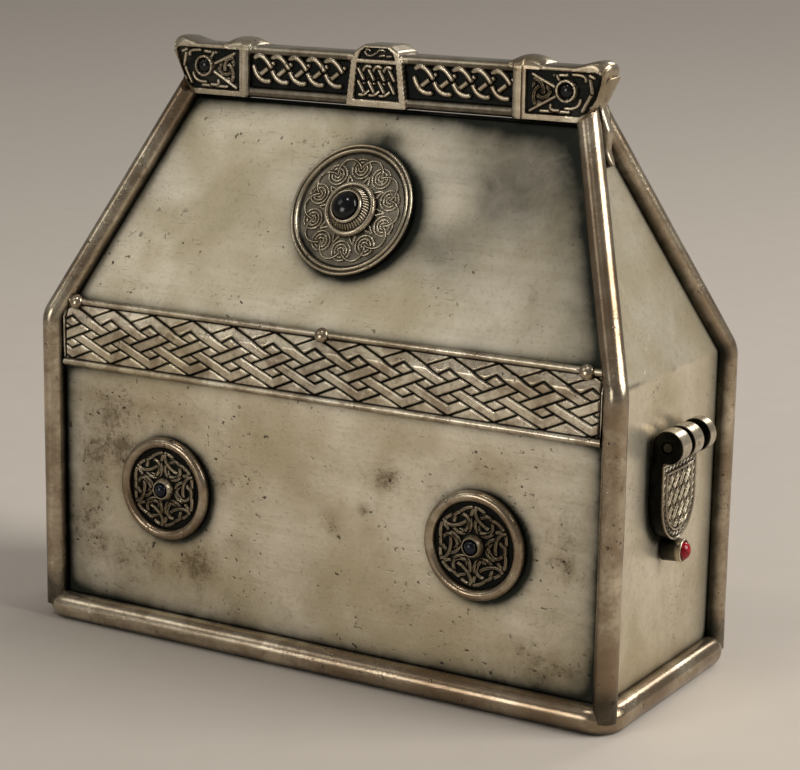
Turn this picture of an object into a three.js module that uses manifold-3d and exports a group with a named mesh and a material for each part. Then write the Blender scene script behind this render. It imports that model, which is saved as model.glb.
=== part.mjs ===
// House-shaped reliquary casket in aged silvered bronze
// Millimetres. X runs along the ridge, the front faces -Y, Z is up.
// The origin is under the middle of the foot.

import * as THREE from 'three';
import { mergeVertices } from 'three/addons/utils/BufferGeometryUtils.js';
import Module from 'manifold-3d';

const wasm = await Module();
wasm.setup();

// Body
const GAP = 0.3;
const HALF_LENGTH = 85;
const HALF_DEPTH = 33;
const EAVE_Z = 85.6;
const RIDGE_FOOT_Z = 145.6;
const RIDGE_FOOT_X = 61;
const RIDGE_FOOT_Y = 3.6;
const PLATE = 1.0;
const PLATE_INSET = 1.0;
const FAR = 200;

// Bindings
const CORNER_R = 3.05;
const CORNER_BORE_R = 2.1;
const CORNER_SIDES = 10;
const BORE_SIDES = 6;
const BEND_R = 7;
const BASE_R = 3.5;
const BASE_Z = 3.7;
const BASE_OUT = 0.5;
const BASE_CORNER_R = 5;
const BASE_SIDES = 12;
const BASE_PLATE_Z = 2.0;
const BASE_PLATE_HALF = [81.6, 29.6];

// Band over the eave: distances from the crease, down the wall or up the roof
const BAND_HALF = 81.4;
const BAND_SHEET = 0.8;
const BAND_FIELD = [-11.0, 3.5];
const BAND_BORDER = [-13.3, 5.6];
const BAND_BORDER_H = [1.7, 2.0];
const BAND_STRAP_H = 0.35;
const BAND_STRAP_W = 2.7;
const BAND_PITCH = 13.1;
const BAND_UNITS = 12;
const BAND_SLIT = 0.42;
const BAND_FIELD_HALF = 80.9;
const RIVETS = { left: -78, middle: 1.2, right: 76.5 };
const RIVET_R = 2.0;
const RIVET_V = 4.2;
const RIVET_SEAT = 1.4;

// Wall medallions
const WALL_MED_X = 47.6;
const WALL_MED_Z = 42.2;
const WALL_RING_R = [11.3, 14.2];
const WALL_RING_H = 2.6;
const WALL_DISC_FLOOR = 1.1;
const WALL_STONE_R = 1.8;
const KNOTS = 6;
const KNOT_ORBIT = 6.9;
const KNOT_TIP = 3.5;
const KNOT_W = 0.95;

// Roof medallion
const ROOF_MED_V = 38.2;
const ROOF_MED_R = 17.9;
const ROOF_DISC_FLOOR = 1.0;
const ROUNDELS = 10;
const ROUNDEL_ORBIT = 11.2;
const ROUNDEL_R = 2.45;
const ROUNDEL_W = 0.6;
const BOSS_STONE_R = 3.5;

// Strap mounts
const MOUNT_TOP_Z = 63.5;
const MOUNT_HALF = 10.25;
const MOUNT_SHOULDER_Z = 54;
const MOUNT_TIP_Z = 42.3;
const MOUNT_FACE = 3.4;
const KNUCKLE_R = 4.3;
const KNUCKLE_Z = 68.3;
const KNUCKLES = [[-10.2, -5.0], [-2.8, 2.5], [6.6, 10.2]];
const PIN_R = 1.3;
const COLLAR_Z = 39.7;
const COLLAR_R = 2.9;
const COLLAR_H = 5.9;
const RED_STONE_R = 2.3;

// Ridge pole
const PANEL_Y = 3.4;
const PANEL_X = [10.9, 38.9];
const PANEL_MID_Z = 152.9;
const HEAD_Y = 4.4;
const BLOCK_Y = 5.1;
const HUMP = { x: 43.3, z: 157.5, radii: [6.2, 4.1, 4.8] };
const EYE = { x: 54.8, z: 153.3, r: 2.1 };
const TONGUE_HALF = 2.3;
const TONGUE_LENGTH = 12;
const TONGUE_FACE = 4.6;

const X = new THREE.Vector3(1, 0, 0);
const Y = new THREE.Vector3(0, 1, 0);
const Z = new THREE.Vector3(0, 0, 1);

const silver = metal(0xa89a82, 0.42);
const plateSilver = metal(0xb0a48a, 0.5);
const rubbed = metal(0x9c8672, 0.38);
const darkSilver = metal(0x6f6857, 0.5);
const jet = stone(0x0b0b0d);
const darkBlue = stone(0x0c1024);
const red = stone(0xa51220);

function metal(color, roughness) {
  return new THREE.MeshStandardMaterial({ color, roughness, metalness: 0.9 });
}

function stone(color) {
  return new THREE.MeshStandardMaterial({ color, roughness: 0.12, metalness: 0 });
}

// Solids and frames

// A closed geometry becomes a solid. A mirrored matrix turns its faces round again.
function solid(geometry, matrix = new THREE.Matrix4()) {
  const loose = geometry.index ? geometry.toNonIndexed() : geometry.clone();
  loose.deleteAttribute('normal');
  loose.deleteAttribute('uv');
  const merged = mergeVertices(loose, 1e-4).applyMatrix4(matrix);
  const index = merged.index.array;
  const mirrored = matrix.determinant() < 0;
  const faces = [];
  for (let i = 0; i < index.length; i += 3) {
    const [a, b, c] = index.slice(i, i + 3);
    if (a !== b && b !== c && c !== a) faces.push(...(mirrored ? [a, c, b] : [a, b, c]));
  }
  const vertProperties = new Float32Array(merged.attributes.position.array);
  return new wasm.Manifold(new wasm.Mesh({ numProp: 3, vertProperties, triVerts: new Uint32Array(faces) }));
}

function geometryOf(shape) {
  const mesh = shape.getMesh();
  const geometry = new THREE.BufferGeometry();
  geometry.setAttribute('position', new THREE.BufferAttribute(new Float32Array(mesh.vertProperties), 3));
  geometry.setIndex(new THREE.BufferAttribute(new Uint32Array(mesh.triVerts), 1));
  return geometry;
}

function joined(solids) {
  return solids.reduce((all, next) => all.add(next));
}

function without(shape, cutters) {
  return cutters.reduce((rest, cutter) => rest.subtract(cutter), shape);
}

// A frame on a face: its x runs along u, its y along v, its z out of the face.
function frame(origin, u, v) {
  const out = new THREE.Vector3().crossVectors(u, v);
  return new THREE.Matrix4().makeBasis(u, v, out).setPosition(origin);
}

function shifted(matrix, x, y, z = 0) {
  return matrix.clone().multiply(new THREE.Matrix4().makeTranslation(x, y, z));
}

// Shapes

function prism(points, from, to, matrix) {
  const shape = new THREE.Shape(points.map(([x, y]) => new THREE.Vector2(x, y)));
  const body = new THREE.ExtrudeGeometry(shape, { depth: to - from, bevelEnabled: false });
  return solid(body.translate(0, 0, from), matrix);
}

function block(x, y, z, matrix) {
  const body = new THREE.BoxGeometry(x[1] - x[0], y[1] - y[0], z[1] - z[0]);
  body.translate((x[0] + x[1]) / 2, (y[0] + y[1]) / 2, (z[0] + z[1]) / 2);
  return solid(body, matrix);
}

// A turned body: the profile holds pairs of radius and height, and the axis is the frame's z.
function turned(profile, segments, matrix) {
  const points = profile.map(([r, h]) => new THREE.Vector2(r, h));
  return solid(new THREE.LatheGeometry(points, segments).rotateX(Math.PI / 2), matrix);
}

function dome(radius, from, seat, top, segments) {
  const shoulder = [radius * Math.cos(Math.PI / 4), seat + (top - seat) * Math.sin(Math.PI / 4)];
  return turned([[0, from], [radius, from], [radius, seat], shoulder, [0, top]], segments);
}

function ring(inner, outer, from, to, segments, matrix) {
  return turned([[inner, from], [outer, from], [outer, to], [inner, to], [inner, from]], segments, matrix);
}

// A strip of constant width along a line of points
function ribbon(points, width, from, to, matrix) {
  const sides = [[], []];
  points.forEach(([x, y], i) => {
    const [ax, ay] = points[Math.max(i - 1, 0)];
    const [bx, by] = points[Math.min(i + 1, points.length - 1)];
    const scale = width / 2 / Math.hypot(bx - ax, by - ay);
    const across = [(ay - by) * scale, (bx - ax) * scale];
    sides[0].push([x - across[0], y - across[1]]);
    sides[1].unshift([x + across[0], y + across[1]]);
  });
  return prism([...sides[0], ...sides[1]], from, to, matrix);
}

function arc(centre, radius, from, to, steps) {
  return Array.from({ length: steps + 1 }, (_, i) => {
    const a = from + (to - from) * i / steps;
    return [centre[0] + radius * Math.cos(a), centre[1] + radius * Math.sin(a)];
  });
}

function bothSides(points) {
  return [...points, ...points.map(([a, b]) => [-a, b]).reverse()];
}

// A section carried through stations, each a point with the two directions of its section
function sweep(section, stations, closed) {
  const n = section.length;
  const rings = stations.length;
  const points = stations.flatMap(({ at, x, y }) => section.map(([a, b]) => at.clone()
    .addScaledVector(x, a).addScaledVector(y, b)));
  const faces = [];
  for (let i = 0; i < (closed ? rings : rings - 1); i++) {
    const next = (i + 1) % rings;
    for (let j = 0; j < n; j++) {
      const k = (j + 1) % n;
      faces.push(i * n + j, i * n + k, next * n + k, i * n + j, next * n + k, next * n + j);
    }
  }
  if (!closed) {
    const last = (rings - 1) * n;
    for (let j = 1; j < n - 1; j++) faces.push(0, j + 1, j, last, last + j, last + j + 1);
  }
  const geometry = new THREE.BufferGeometry();
  geometry.setAttribute('position', new THREE.Float32BufferAttribute(points.flatMap((p) => p.toArray()), 3));
  geometry.setIndex(faces);
  return geometry;
}

// Faces that carry ornament

const hipX = (HALF_LENGTH - RIDGE_FOOT_X) / (RIDGE_FOOT_Z - EAVE_Z);
const hipY = (HALF_DEPTH - RIDGE_FOOT_Y) / (RIDGE_FOOT_Z - EAVE_Z);
const roofUp = new THREE.Vector3(0, hipY, 1).normalize();
const roofOut = new THREE.Vector3().crossVectors(X, roofUp);
const endUp = new THREE.Vector3(-hipX, 0, 1).normalize();
const endOut = new THREE.Vector3().crossVectors(Y, endUp);
const WALL_Y = -HALF_DEPTH + PLATE_INSET;
const END_X = HALF_LENGTH - PLATE_INSET;
const CREASE_Z = EAVE_Z - PLATE_INSET * (1 + roofOut.y) / roofOut.z;
const END_CREASE_Z = EAVE_Z - PLATE_INSET * (1 - endOut.x) / endOut.z;
const centre = new THREE.Vector3();
const facing = frame(centre, X, Z);
const alongX = frame(centre, Y, Z);
const frontWall = frame(new THREE.Vector3(0, WALL_Y, 0), X, Z);
const frontRoof = frame(new THREE.Vector3(0, WALL_Y, CREASE_Z), X, roofUp);
const rightEnd = frame(new THREE.Vector3(END_X, 0, 0), Y, Z);
const rightHip = frame(new THREE.Vector3(END_X, 0, END_CREASE_Z), Y, endUp);
const asBuilt = new THREE.Matrix4();
const halfTurn = new THREE.Matrix4().makeRotationZ(Math.PI);
const toBack = (matrix) => halfTurn.clone().multiply(matrix);

// Corner bindings: up the corner, round the bend at the eave, and along the hip

function cornerStations(sx, sy) {
  const foot = new THREE.Vector3(sx * HALF_LENGTH, sy * HALF_DEPTH, BASE_Z);
  const eave = new THREE.Vector3(sx * HALF_LENGTH, sy * HALF_DEPTH, EAVE_Z);
  const hip = new THREE.Vector3(-sx * hipX, -sy * hipY, 1).normalize();
  const lean = Z.angleTo(hip);
  const side = new THREE.Vector3().crossVectors(Z, hip).normalize();
  const inward = new THREE.Vector3().crossVectors(side, Z);
  const pivot = eave.clone().addScaledVector(Z, -BEND_R * Math.tan(lean / 2)).addScaledVector(inward, BEND_R);
  const turnedIn = (turn) => inward.clone().applyAxisAngle(side, turn);
  const bend = [0, 1, 2].map((i) => turnedIn(lean * i / 2))
    .map((y) => ({ at: pivot.clone().addScaledVector(y, -BEND_R), x: side, y }));
  const top = eave.clone().addScaledVector(hip, (RIDGE_FOOT_Z + 2.2 - EAVE_Z) / hip.z);
  return [{ at: foot, x: side, y: inward }, ...bend, { at: top, x: side, y: turnedIn(lean) }];
}

function cornerRod(sx, sy, radius, sides) {
  return solid(sweep(arc([0, 0], radius, 0, -2 * Math.PI, sides).slice(1), cornerStations(sx, sy), false));
}

// Moulding round the foot, with a flat underside
function baseRing(grow) {
  const r = BASE_R + grow;
  const flat = 1.22;
  const section = arc([0, 0], 1, Math.PI + flat, -flat, BASE_SIDES - 1)
    .map(([a, b]) => [a * r, b * (BASE_Z + grow) / Math.sin(flat)])
    .map(([a, b]) => [a, Math.min(b, BASE_Z + grow)]);
  const stations = [];
  for (const [k, sx, sy] of [[0, 1, 1], [1, -1, 1], [2, -1, -1], [3, 1, -1]]) {
    const corner = new THREE.Vector3(sx * (HALF_LENGTH + BASE_OUT - BASE_CORNER_R),
      sy * (HALF_DEPTH + BASE_OUT - BASE_CORNER_R), BASE_Z);
    for (const [a, b] of arc([0, 0], 1, k * Math.PI / 2, (k + 1) * Math.PI / 2, 2)) {
      const out = new THREE.Vector3(a, b, 0);
      stations.push({ at: corner.clone().addScaledVector(out, BASE_CORNER_R), x: out, y: Z });
    }
  }
  return solid(sweep(section, stations, true));
}

// Plates

function wallPlate() {
  return without(block([-END_X, END_X], [BASE_Z, CREASE_Z - 0.45], [-PLATE, 0], frontWall), bodyCutters);
}

function roofPlate() {
  const up = (RIDGE_FOOT_Z - CREASE_Z) / roofUp.z;
  const outline = bothSides([[END_X, 0.1], [END_X - hipX * roofUp.z * up, up]]);
  return without(prism(outline, -PLATE, 0, frontRoof), bodyCutters);
}

// One sheet, creased at the eave, cut back to the slopes of the front and back roof
function endPlate() {
  const rise = RIDGE_FOOT_Z + 2 - END_CREASE_Z;
  const lean = END_X - hipX * rise;
  const kink = END_CREASE_Z - PLATE * (1 - endOut.x) / endOut.z;
  const outline = [[END_X, BASE_Z], [END_X, END_CREASE_Z], [lean, END_CREASE_Z + rise],
    [lean - PLATE / endOut.x, END_CREASE_Z + rise], [END_X - PLATE, kink], [END_X - PLATE, BASE_Z]];
  const sheet = prism(outline, WALL_Y, -WALL_Y, facing);
  const outside = [frontRoof, toBack(frontRoof)]
    .map((slope) => block([-FAR, FAR], [-40, 120], [0, 80], slope));
  return without(sheet, [...outside, ...bodyCutters]);
}

// Band over the eave

// A point on the folded sheet: v up it from the crease, n out of it
function onBend(v, n) {
  const crease = new THREE.Vector3(0, WALL_Y, CREASE_Z);
  if (Math.abs(v) < 1e-4) return crease.add(new THREE.Vector3(0, -n, n * Math.tan(Math.atan(hipY) / 2)));
  return v < 0 ? crease.add(new THREE.Vector3(0, -n, v))
    : crease.addScaledVector(roofUp, v).addScaledVector(roofOut, n);
}

function bandSection() {
  const field = GAP + BAND_SHEET;
  const round = (v0, v1, h) => [0.5, 1.5, 2.5, 3.5].map((i) => i * Math.PI / 4)
    .map((a) => onBend((v0 + v1) / 2 - (v1 - v0) / 2 * Math.cos(a), GAP + h * (0.35 + 0.65 * Math.sin(a))));
  const points = [onBend(BAND_BORDER[0], GAP), onBend(0, GAP), onBend(BAND_BORDER[1], GAP),
    ...round(BAND_BORDER[1], BAND_FIELD[1] + 0.2, BAND_BORDER_H[1]), onBend(BAND_FIELD[1], field),
    onBend(0, field), onBend(BAND_FIELD[0], field),
    ...round(BAND_FIELD[0] - 0.1, BAND_BORDER[0], BAND_BORDER_H[0])];
  return points.map((p) => [p.y, p.z]);
}

// The visible stretches of a flat plait of four straps. A falling strap passes over near both edges
// and a rising strap passes over at mid height, so each stretch ends at the strap above it.
function plaitPieces() {
  const [low, high] = BAND_FIELD;
  const run = BAND_PITCH / 2;
  const tall = BAND_STRAP_W / Math.cos(Math.atan2((high - low - BAND_STRAP_W) / 4, run));
  const rise = (high - low - tall) / 4;
  const slope = Math.atan2(rise, run);
  const length = Math.hypot(rise, run);
  const half = tall / (4 * Math.sin(slope));
  const reach = length - half - BAND_SLIT / Math.sin(2 * slope);
  const middle = (low + high) / 2;
  const at = (x, y, up, down) => [x + (up + down) * Math.cos(slope), y + (up - down) * Math.sin(slope)];
  const rising = [[-reach, half], [reach, half], [reach, -half], [-reach, -half]];
  const turning = [[-reach, half], [-half, half], [-half, length + reach],
    [half, length + reach], [half, -half], [-reach, -half]];
  const pieces = [];
  for (let k = 0; k <= BAND_UNITS; k++) {
    const x = (k - BAND_UNITS / 2) * BAND_PITCH;
    const upper = turning.map(([a, b]) => at(x, middle + 2 * rise, a, b));
    pieces.push(rising.map(([a, b]) => at(x, middle, a, b)));
    pieces.push(upper);
    pieces.push(upper.map(([a, b]) => [2 * x - a, 2 * middle - b]));
  }
  return pieces;
}

// A flat shape is carried onto the folded sheet, vertex by vertex.
function folded(flat) {
  const geometry = geometryOf(flat);
  const place = geometry.attributes.position;
  for (let i = 0; i < place.count; i++) {
    const point = onBend(place.getY(i), place.getZ(i));
    place.setXYZ(i, place.getX(i), point.y, point.z);
  }
  return solid(geometry);
}

function bandStraps() {
  const field = GAP + BAND_SHEET;
  const halves = [[-FAR, 0], [0, FAR]]
    .map((v) => block([-BAND_FIELD_HALF, BAND_FIELD_HALF], v, [-5, 5], asBuilt));
  const straps = plaitPieces().flatMap((points) => halves
    .filter((_, side) => points.some(([, v]) => (side ? v > 0 : v < 0)))
    .map((half) => prism(points, field - 0.3, field + BAND_STRAP_H, asBuilt).intersect(half)));
  return joined(straps.map(folded));
}

function rivetSeat(x) {
  return turned([[0, RIVET_SEAT], [RIVET_R + GAP, RIVET_SEAT], [RIVET_R + GAP, 5], [0, 5]], 12,
    shifted(frontRoof, x, RIVET_V));
}

function band(straps) {
  const sheet = prism(bandSection(), -BAND_HALF, BAND_HALF, alongX);
  const dressed = straps ? sheet.add(bandStraps()) : sheet;
  return without(dressed, [...wideRods, ...Object.values(RIVETS).map(rivetSeat)]);
}

// Wall medallions, each in its own frame with z out of the wall

function wallRing() {
  const [inner, outer] = WALL_RING_R;
  const half = (outer - inner) / 2;
  const crown = arc([inner + half, 0], 1, 0, Math.PI, 3)
    .map(([a, b]) => [inner + half + (a - inner - half) * half, GAP + 1.1 + (WALL_RING_H - 1.1) * b]);
  return turned([[inner, GAP], [outer, GAP], ...crown, [inner, GAP]], 16);
}

// A three-pointed knot of one strand: three half circles, tip to tip. Each stretch runs from under
// one crossing, round a tip and over the next crossing, to under the one after.
function threePointKnot(tip, width, slit) {
  const radius = Math.sqrt(3) * tip / 2;
  const slip = (width / 2 + slit) / Math.sin(Math.PI / 3) / radius;
  const on = (k, degrees, extra = 0) => {
    const turn = -k * 2 * Math.PI / 3;
    const a = turn + degrees * Math.PI / 180 + extra;
    const [x, y] = [tip / 2 * Math.cos(turn), tip / 2 * Math.sin(turn)];
    return [x + radius * Math.cos(a), y + radius * Math.sin(a)];
  };
  return [0, 1, 2].map((k) => [on(k, 210, slip), on(k, 262), on(k + 1, 130), on(k + 1, 210, -slip)]);
}

function wallDisc() {
  const floor = WALL_DISC_FLOOR;
  const bore = WALL_STONE_R + GAP;
  const body = turned([[0, GAP], [11.0, GAP], [11.0, floor], [3.1, floor], [2.95, 2.4], [bore + 0.25, 3.2],
    [bore, 3.2], [bore, 2.2], [0, 2.2]], 14);
  const knots = [];
  for (let k = 0; k < KNOTS; k++) {
    const turn = new THREE.Matrix4().makeRotationZ(k / KNOTS * 2 * Math.PI);
    const place = shifted(turn, KNOT_ORBIT, 0);
    for (const line of threePointKnot(KNOT_TIP, KNOT_W, 0.25)) {
      knots.push(ribbon(line, KNOT_W, floor - 0.3, floor + 0.9, place));
    }
  }
  return joined([body, ...knots]);
}

// Roof medallion: a dished disc inside a double rim, with a ring of linked roundels

function roofDisc() {
  const r = ROOF_MED_R;
  const floor = ROOF_DISC_FLOOR;
  const body = turned([[0, GAP], [r - 0.3, GAP], [r, 0.9], [r - 0.2, 2.0], [r - 0.8, 2.0], [r - 1.0, 1.5],
    [r - 1.3, 1.5], [r - 1.5, 2.1], [r - 2.0, 2.1], [r - 2.4, floor], [0, floor]], 20);
  const step = 2 * Math.PI / ROUNDELS;
  const low = floor - 0.2;
  const high = floor + 0.6;
  const lines = [];
  for (let k = 0; k < ROUNDELS; k++) {
    const turn = new THREE.Matrix4().makeRotationZ(Math.PI / 2 + k * step);
    const place = shifted(turn, ROUNDEL_ORBIT, 0);
    lines.push(ring(ROUNDEL_R - ROUNDEL_W / 2, ROUNDEL_R + ROUNDEL_W / 2, low, high, 6, place));
    lines.push(turned([[0, low], [0.8, low], [0.8, high], [0, high]], 4, place));
    const link = [0.2, 0.5, 0.8].map((t) => [t * step, ROUNDEL_ORBIT + 2.1 + 1.3 * Math.sin(Math.PI * t)])
      .map(([a, out]) => [out * Math.cos(a), out * Math.sin(a)]);
    lines.push(ribbon(link, ROUNDEL_W, low, high, turn));
  }
  return joined([body, ...lines]);
}

function roofBoss() {
  const from = ROOF_DISC_FLOOR + GAP;
  const bore = BOSS_STONE_R + GAP;
  return turned([[0, from], [7.2, from], [7.3, 2.0], [6.5, 3.0], [5.9, 3.2], [5.7, 2.8], [4.9, 4.4],
    [bore, 4.7], [bore, 4.2], [0, 4.2]], 14);
}

// Strap mount, with x across it, y up the wall and z out of the end plate

function shield(inset, from, to) {
  const half = MOUNT_HALF - inset;
  const tip = MOUNT_TIP_Z + inset;
  const bowl = arc([0, 0], 1, Math.PI, 2 * Math.PI, 6)
    .map(([a, b]) => [half * a, MOUNT_SHOULDER_Z + (MOUNT_SHOULDER_Z - tip) * b]);
  return prism([[-half, MOUNT_TOP_Z - inset], ...bowl, [half, MOUNT_TOP_Z - inset]], from, to);
}

function shieldLine(outer, inner) {
  return shield(outer, MOUNT_FACE - 0.3, MOUNT_FACE + 0.6).subtract(shield(inner, 0, 10));
}

function shieldPlait() {
  const spacing = 6.2;
  const lean = 9;
  const straps = [-1, 0, 1].flatMap((k) => [lean, -lean].map((across) => {
    const line = [[k * spacing - across, MOUNT_TIP_Z], [k * spacing + across, MOUNT_TOP_Z]];
    return ribbon(line, 1.3, MOUNT_FACE - 0.3, MOUNT_FACE + 0.5);
  }));
  return joined(straps).intersect(shield(3.4, 0, 10));
}

function strapMount() {
  const barrelAt = frame(new THREE.Vector3(0, KNUCKLE_Z, GAP + KNUCKLE_R), Y, Z);
  const barrel = (radius, from, to, sides) =>
    turned([[0, from], [radius, from], [radius, to], [0, to]], sides, barrelAt);
  const knuckles = KNUCKLES.flatMap(([from, to]) => [barrel(KNUCKLE_R, from, to, 12),
    block([from, to], [MOUNT_TOP_Z - 2, KNUCKLE_Z], [GAP, MOUNT_FACE])]);
  const bore = RED_STONE_R + GAP;
  const collar = turned([[0, GAP], [COLLAR_R + 0.3, GAP], [COLLAR_R, COLLAR_H], [bore, COLLAR_H],
    [bore, COLLAR_H - 1.2], [0, COLLAR_H - 1.2]], 10, shifted(asBuilt, 0, COLLAR_Z));
  const solids = [shield(0, GAP, MOUNT_FACE), ...knuckles, collar, shieldLine(0, 0.7), shieldLine(2.4, 3.1),
    shieldPlait()];
  return joined(solids).subtract(barrel(PIN_R + GAP, -20, 20, 8));
}

function strapPin() {
  const body = new THREE.CylinderGeometry(PIN_R, PIN_R, KNUCKLES[2][1] - KNUCKLES[0][0], 8);
  return solid(body.rotateZ(Math.PI / 2).translate(0, KNUCKLE_Z, GAP + KNUCKLE_R));
}

// Ridge pole, with the front panels facing the viewer

function poleBar() {
  const side = [[3.1, 145.6], [4.2, 146.1], [4.5, 147.2], [4.2, 148.2], [PANEL_Y, 148.6], [PANEL_Y, 157.2],
    [4.2, 157.5], [4.5, 158.4], [4.1, 159.3], [3.0, 159.6]];
  return prism(bothSides(side), -HUMP.x, HUMP.x, alongX);
}

// Running plait: an arch above, a rising stroke between and a hanging arch below, unit after unit
function panelPlait(sx) {
  const units = 5;
  const step = (PANEL_X[1] - PANEL_X[0]) / units;
  const strokes = [[[-0.46, 2.7], [-0.1, 3.3], [0.42, 1.6]], [[-0.42, -1.6], [0.1, -3.3], [0.46, -2.7]],
    [[-0.2, -0.75], [0.2, 0.75]]];
  const middle0 = sx * (PANEL_X[0] + PANEL_X[1]) / 2;
  return [-2, -1, 0, 1, 2].map((k) => middle0 + k * step).flatMap((middle) => strokes.map((stroke) => {
    const line = stroke.map(([a, b]) => [middle + a * step, PANEL_MID_Z + b]);
    return ribbon(line, 1.15, PANEL_Y - 0.3, PANEL_Y + 0.9, facing);
  }));
}

// The block's plait: falling strokes in two rows, and rising ones between them
function centralBlock() {
  const outline = bothSides([[9.2, 145.7], [7.7, 157.6], [6.6, 160.2], [3.9, 161.9]]);
  const body = prism(outline, -BLOCK_Y, BLOCK_Y, facing);
  const panel = prism(bothSides([[6.9, 147.6], [5.9, 156.9]]), BLOCK_Y - 0.9, 9, facing);
  const gable = prism(bothSides([[5.6, 158.1], [4.9, 159.9], [3.2, 161.0]]), BLOCK_Y - 0.6, 9, facing);
  const stroke = (x, z, lean) =>
    ribbon([[x - lean, z - 1], [x + lean, z + 1]], 0.95, BLOCK_Y - 1.1, BLOCK_Y - 0.1, facing);
  const rows = (columns, heights, lean) => columns.flatMap((x) => heights.map((z) => stroke(x, z, lean)));
  const strokes = [...rows([-4.65, -1.55, 1.55, 4.65], [154.1, 150.9], -0.7),
    ...rows([-3.1, 0, 3.1], [152.5], 0.7)];
  const scrolls = [1, -1].map((side) => arc([side * 1.9, 159.5], 0.9, side * 0.7 * Math.PI,
    -side * 0.8 * Math.PI, 4)).map((line) => ribbon(line, 0.55, BLOCK_Y - 0.8, BLOCK_Y, facing));
  return joined([without(body, [panel, gable]), ...strokes, ...scrolls]);
}

function headOutline(out, drop) {
  return [[42, 145.7], [57, 145.7], [60, 146.6], [61.8, 148.0], [63.4, 151.4], [64.6, 155], [65.2, 158],
    [64.9, 159.6], [63.9, 160.7], [62.3, 161.1], [60.5, 160.6], [58.8, 159.6], [42, 159.5]]
    .map(([a, b]) => [a > 58 ? a + out : a, b - drop]);
}

function ridgeHead(side) {
  const cheek = prism(headOutline(0, 0), -HEAD_Y, HEAD_Y, side);
  const snout = prism(headOutline(0.7, 0), 1.3 - HEAD_Y, HEAD_Y - 1.3, side);
  const pocket = prism([[43.4, 147.3], [57.4, 147.2], [59.6, 148.2], [61.6, 151.6], [62.9, 155.2],
    [63.3, 157.6], [61.4, 158.2], [43.4, 158.2]], HEAD_Y - 0.8, 9, side);
  const collar = block([39.9, 42.5], [145.65, 159.8], [-5.0, 5.0], side);
  const [length, height, depth] = HUMP.radii;
  const ball = new THREE.SphereGeometry(1, 9, 5).scale(length, height, depth);
  const hump = solid(ball.translate(HUMP.x, HUMP.z, 0), side);
  const backEye = eyeCollar(side.clone().multiply(new THREE.Matrix4().makeScale(1, 1, -1)));
  return joined([without(cheek.add(snout), [pocket]), collar, hump, ...headLines(side), backEye]);
}

function eyeCollar(side) {
  const foot = [EYE.r, HEAD_Y - 1];
  return turned([foot, [EYE.r + 0.8, HEAD_Y - 1], [EYE.r + 0.4, HEAD_Y + 0.8], foot], 9,
    shifted(side, EYE.x, EYE.z));
}

// Raised lines on a head: two bars that close to a point at the eye, a three-pointed knot between
// them, the eye's collar, the bent line of the jaw, and a low curl under the eye
function headLines(side) {
  const line = (points, width) => ribbon(points, width, HEAD_Y - 1.1, HEAD_Y - 0.05, side);
  const knot = threePointKnot(2.6, 0.7, 0.15)
    .map((points) => line(points.map(([a, b]) => [46.4 + a, 152.7 + b]), 0.7));
  return [line([[44.2, 157.6], [51.4, 154.2]], 0.9), line([[44.2, 147.9], [51.4, 151.7]], 0.9), ...knot,
    eyeCollar(side), line([[53.4, 157.3], [58.8, 156.6], [60.4, 153.4], [58.2, 149.6]], 0.8),
    line([[47.5, 148.3], [51.5, 149.0], [56.8, 148.3]], 0.8)];
}

const leftSide = facing.clone().multiply(new THREE.Matrix4().makeScale(-1, 1, 1));

function ridgePole() {
  return joined([poleBar(), centralBlock(), ridgeHead(facing), ridgeHead(leftSide), ...panelPlait(1),
    ...panelPlait(-1)]);
}

// A tongue hangs from under the head and lies over the two corner bindings
function tongue() {
  const up = (RIDGE_FOOT_Z - END_CREASE_Z) / endUp.z;
  const outline = bothSides([[TONGUE_HALF - 0.9, up - TONGUE_LENGTH - 1],
    [TONGUE_HALF - 0.2, up - TONGUE_LENGTH], [TONGUE_HALF, up + 6]]);
  return without(prism(outline, GAP, TONGUE_FACE, rightHip), [...wideRods, underHeads]);
}

// The object

const group = new THREE.Group();

function add(name, shape, look, place = asBuilt) {
  const mesh = new THREE.Mesh(geometryOf(shape), look);
  mesh.name = name;
  mesh.applyMatrix4(place);
  group.add(mesh);
}

const corners = { front_left: [-1, -1], front_right: [1, -1], back_left: [-1, 1], back_right: [1, 1] };
const wideRods = Object.values(corners).map(([sx, sy]) => cornerRod(sx, sy, CORNER_R + GAP, CORNER_SIDES));
const widerBase = baseRing(GAP);
const aboveRoof = block([-FAR, FAR], [-FAR, FAR], [RIDGE_FOOT_Z - GAP, FAR]);
const underHeads = joined([facing, leftSide]
  .map((side) => prism(headOutline(0.7 + GAP, GAP), -FAR, FAR, side)));
const bodyCutters = [...wideRods, widerBase, aboveRoof];

const [halfX, halfY] = BASE_PLATE_HALF;
add('base_plate', block([-halfX, halfX], [-halfY, halfY], [BASE_PLATE_Z, BASE_PLATE_Z + PLATE]), plateSilver);
add('base_binding', baseRing(0), rubbed);
for (const [corner, [sx, sy]] of Object.entries(corners)) {
  const tube = cornerRod(sx, sy, CORNER_R, CORNER_SIDES)
    .subtract(cornerRod(sx, sy, CORNER_BORE_R, BORE_SIDES));
  const otherHalf = block([-FAR, FAR], sy > 0 ? [-FAR, GAP / 2] : [-GAP / 2, FAR], [-FAR, FAR]);
  add(`corner_binding_${corner}`, without(tube, [widerBase, underHeads, otherHalf]), rubbed);
}

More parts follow.
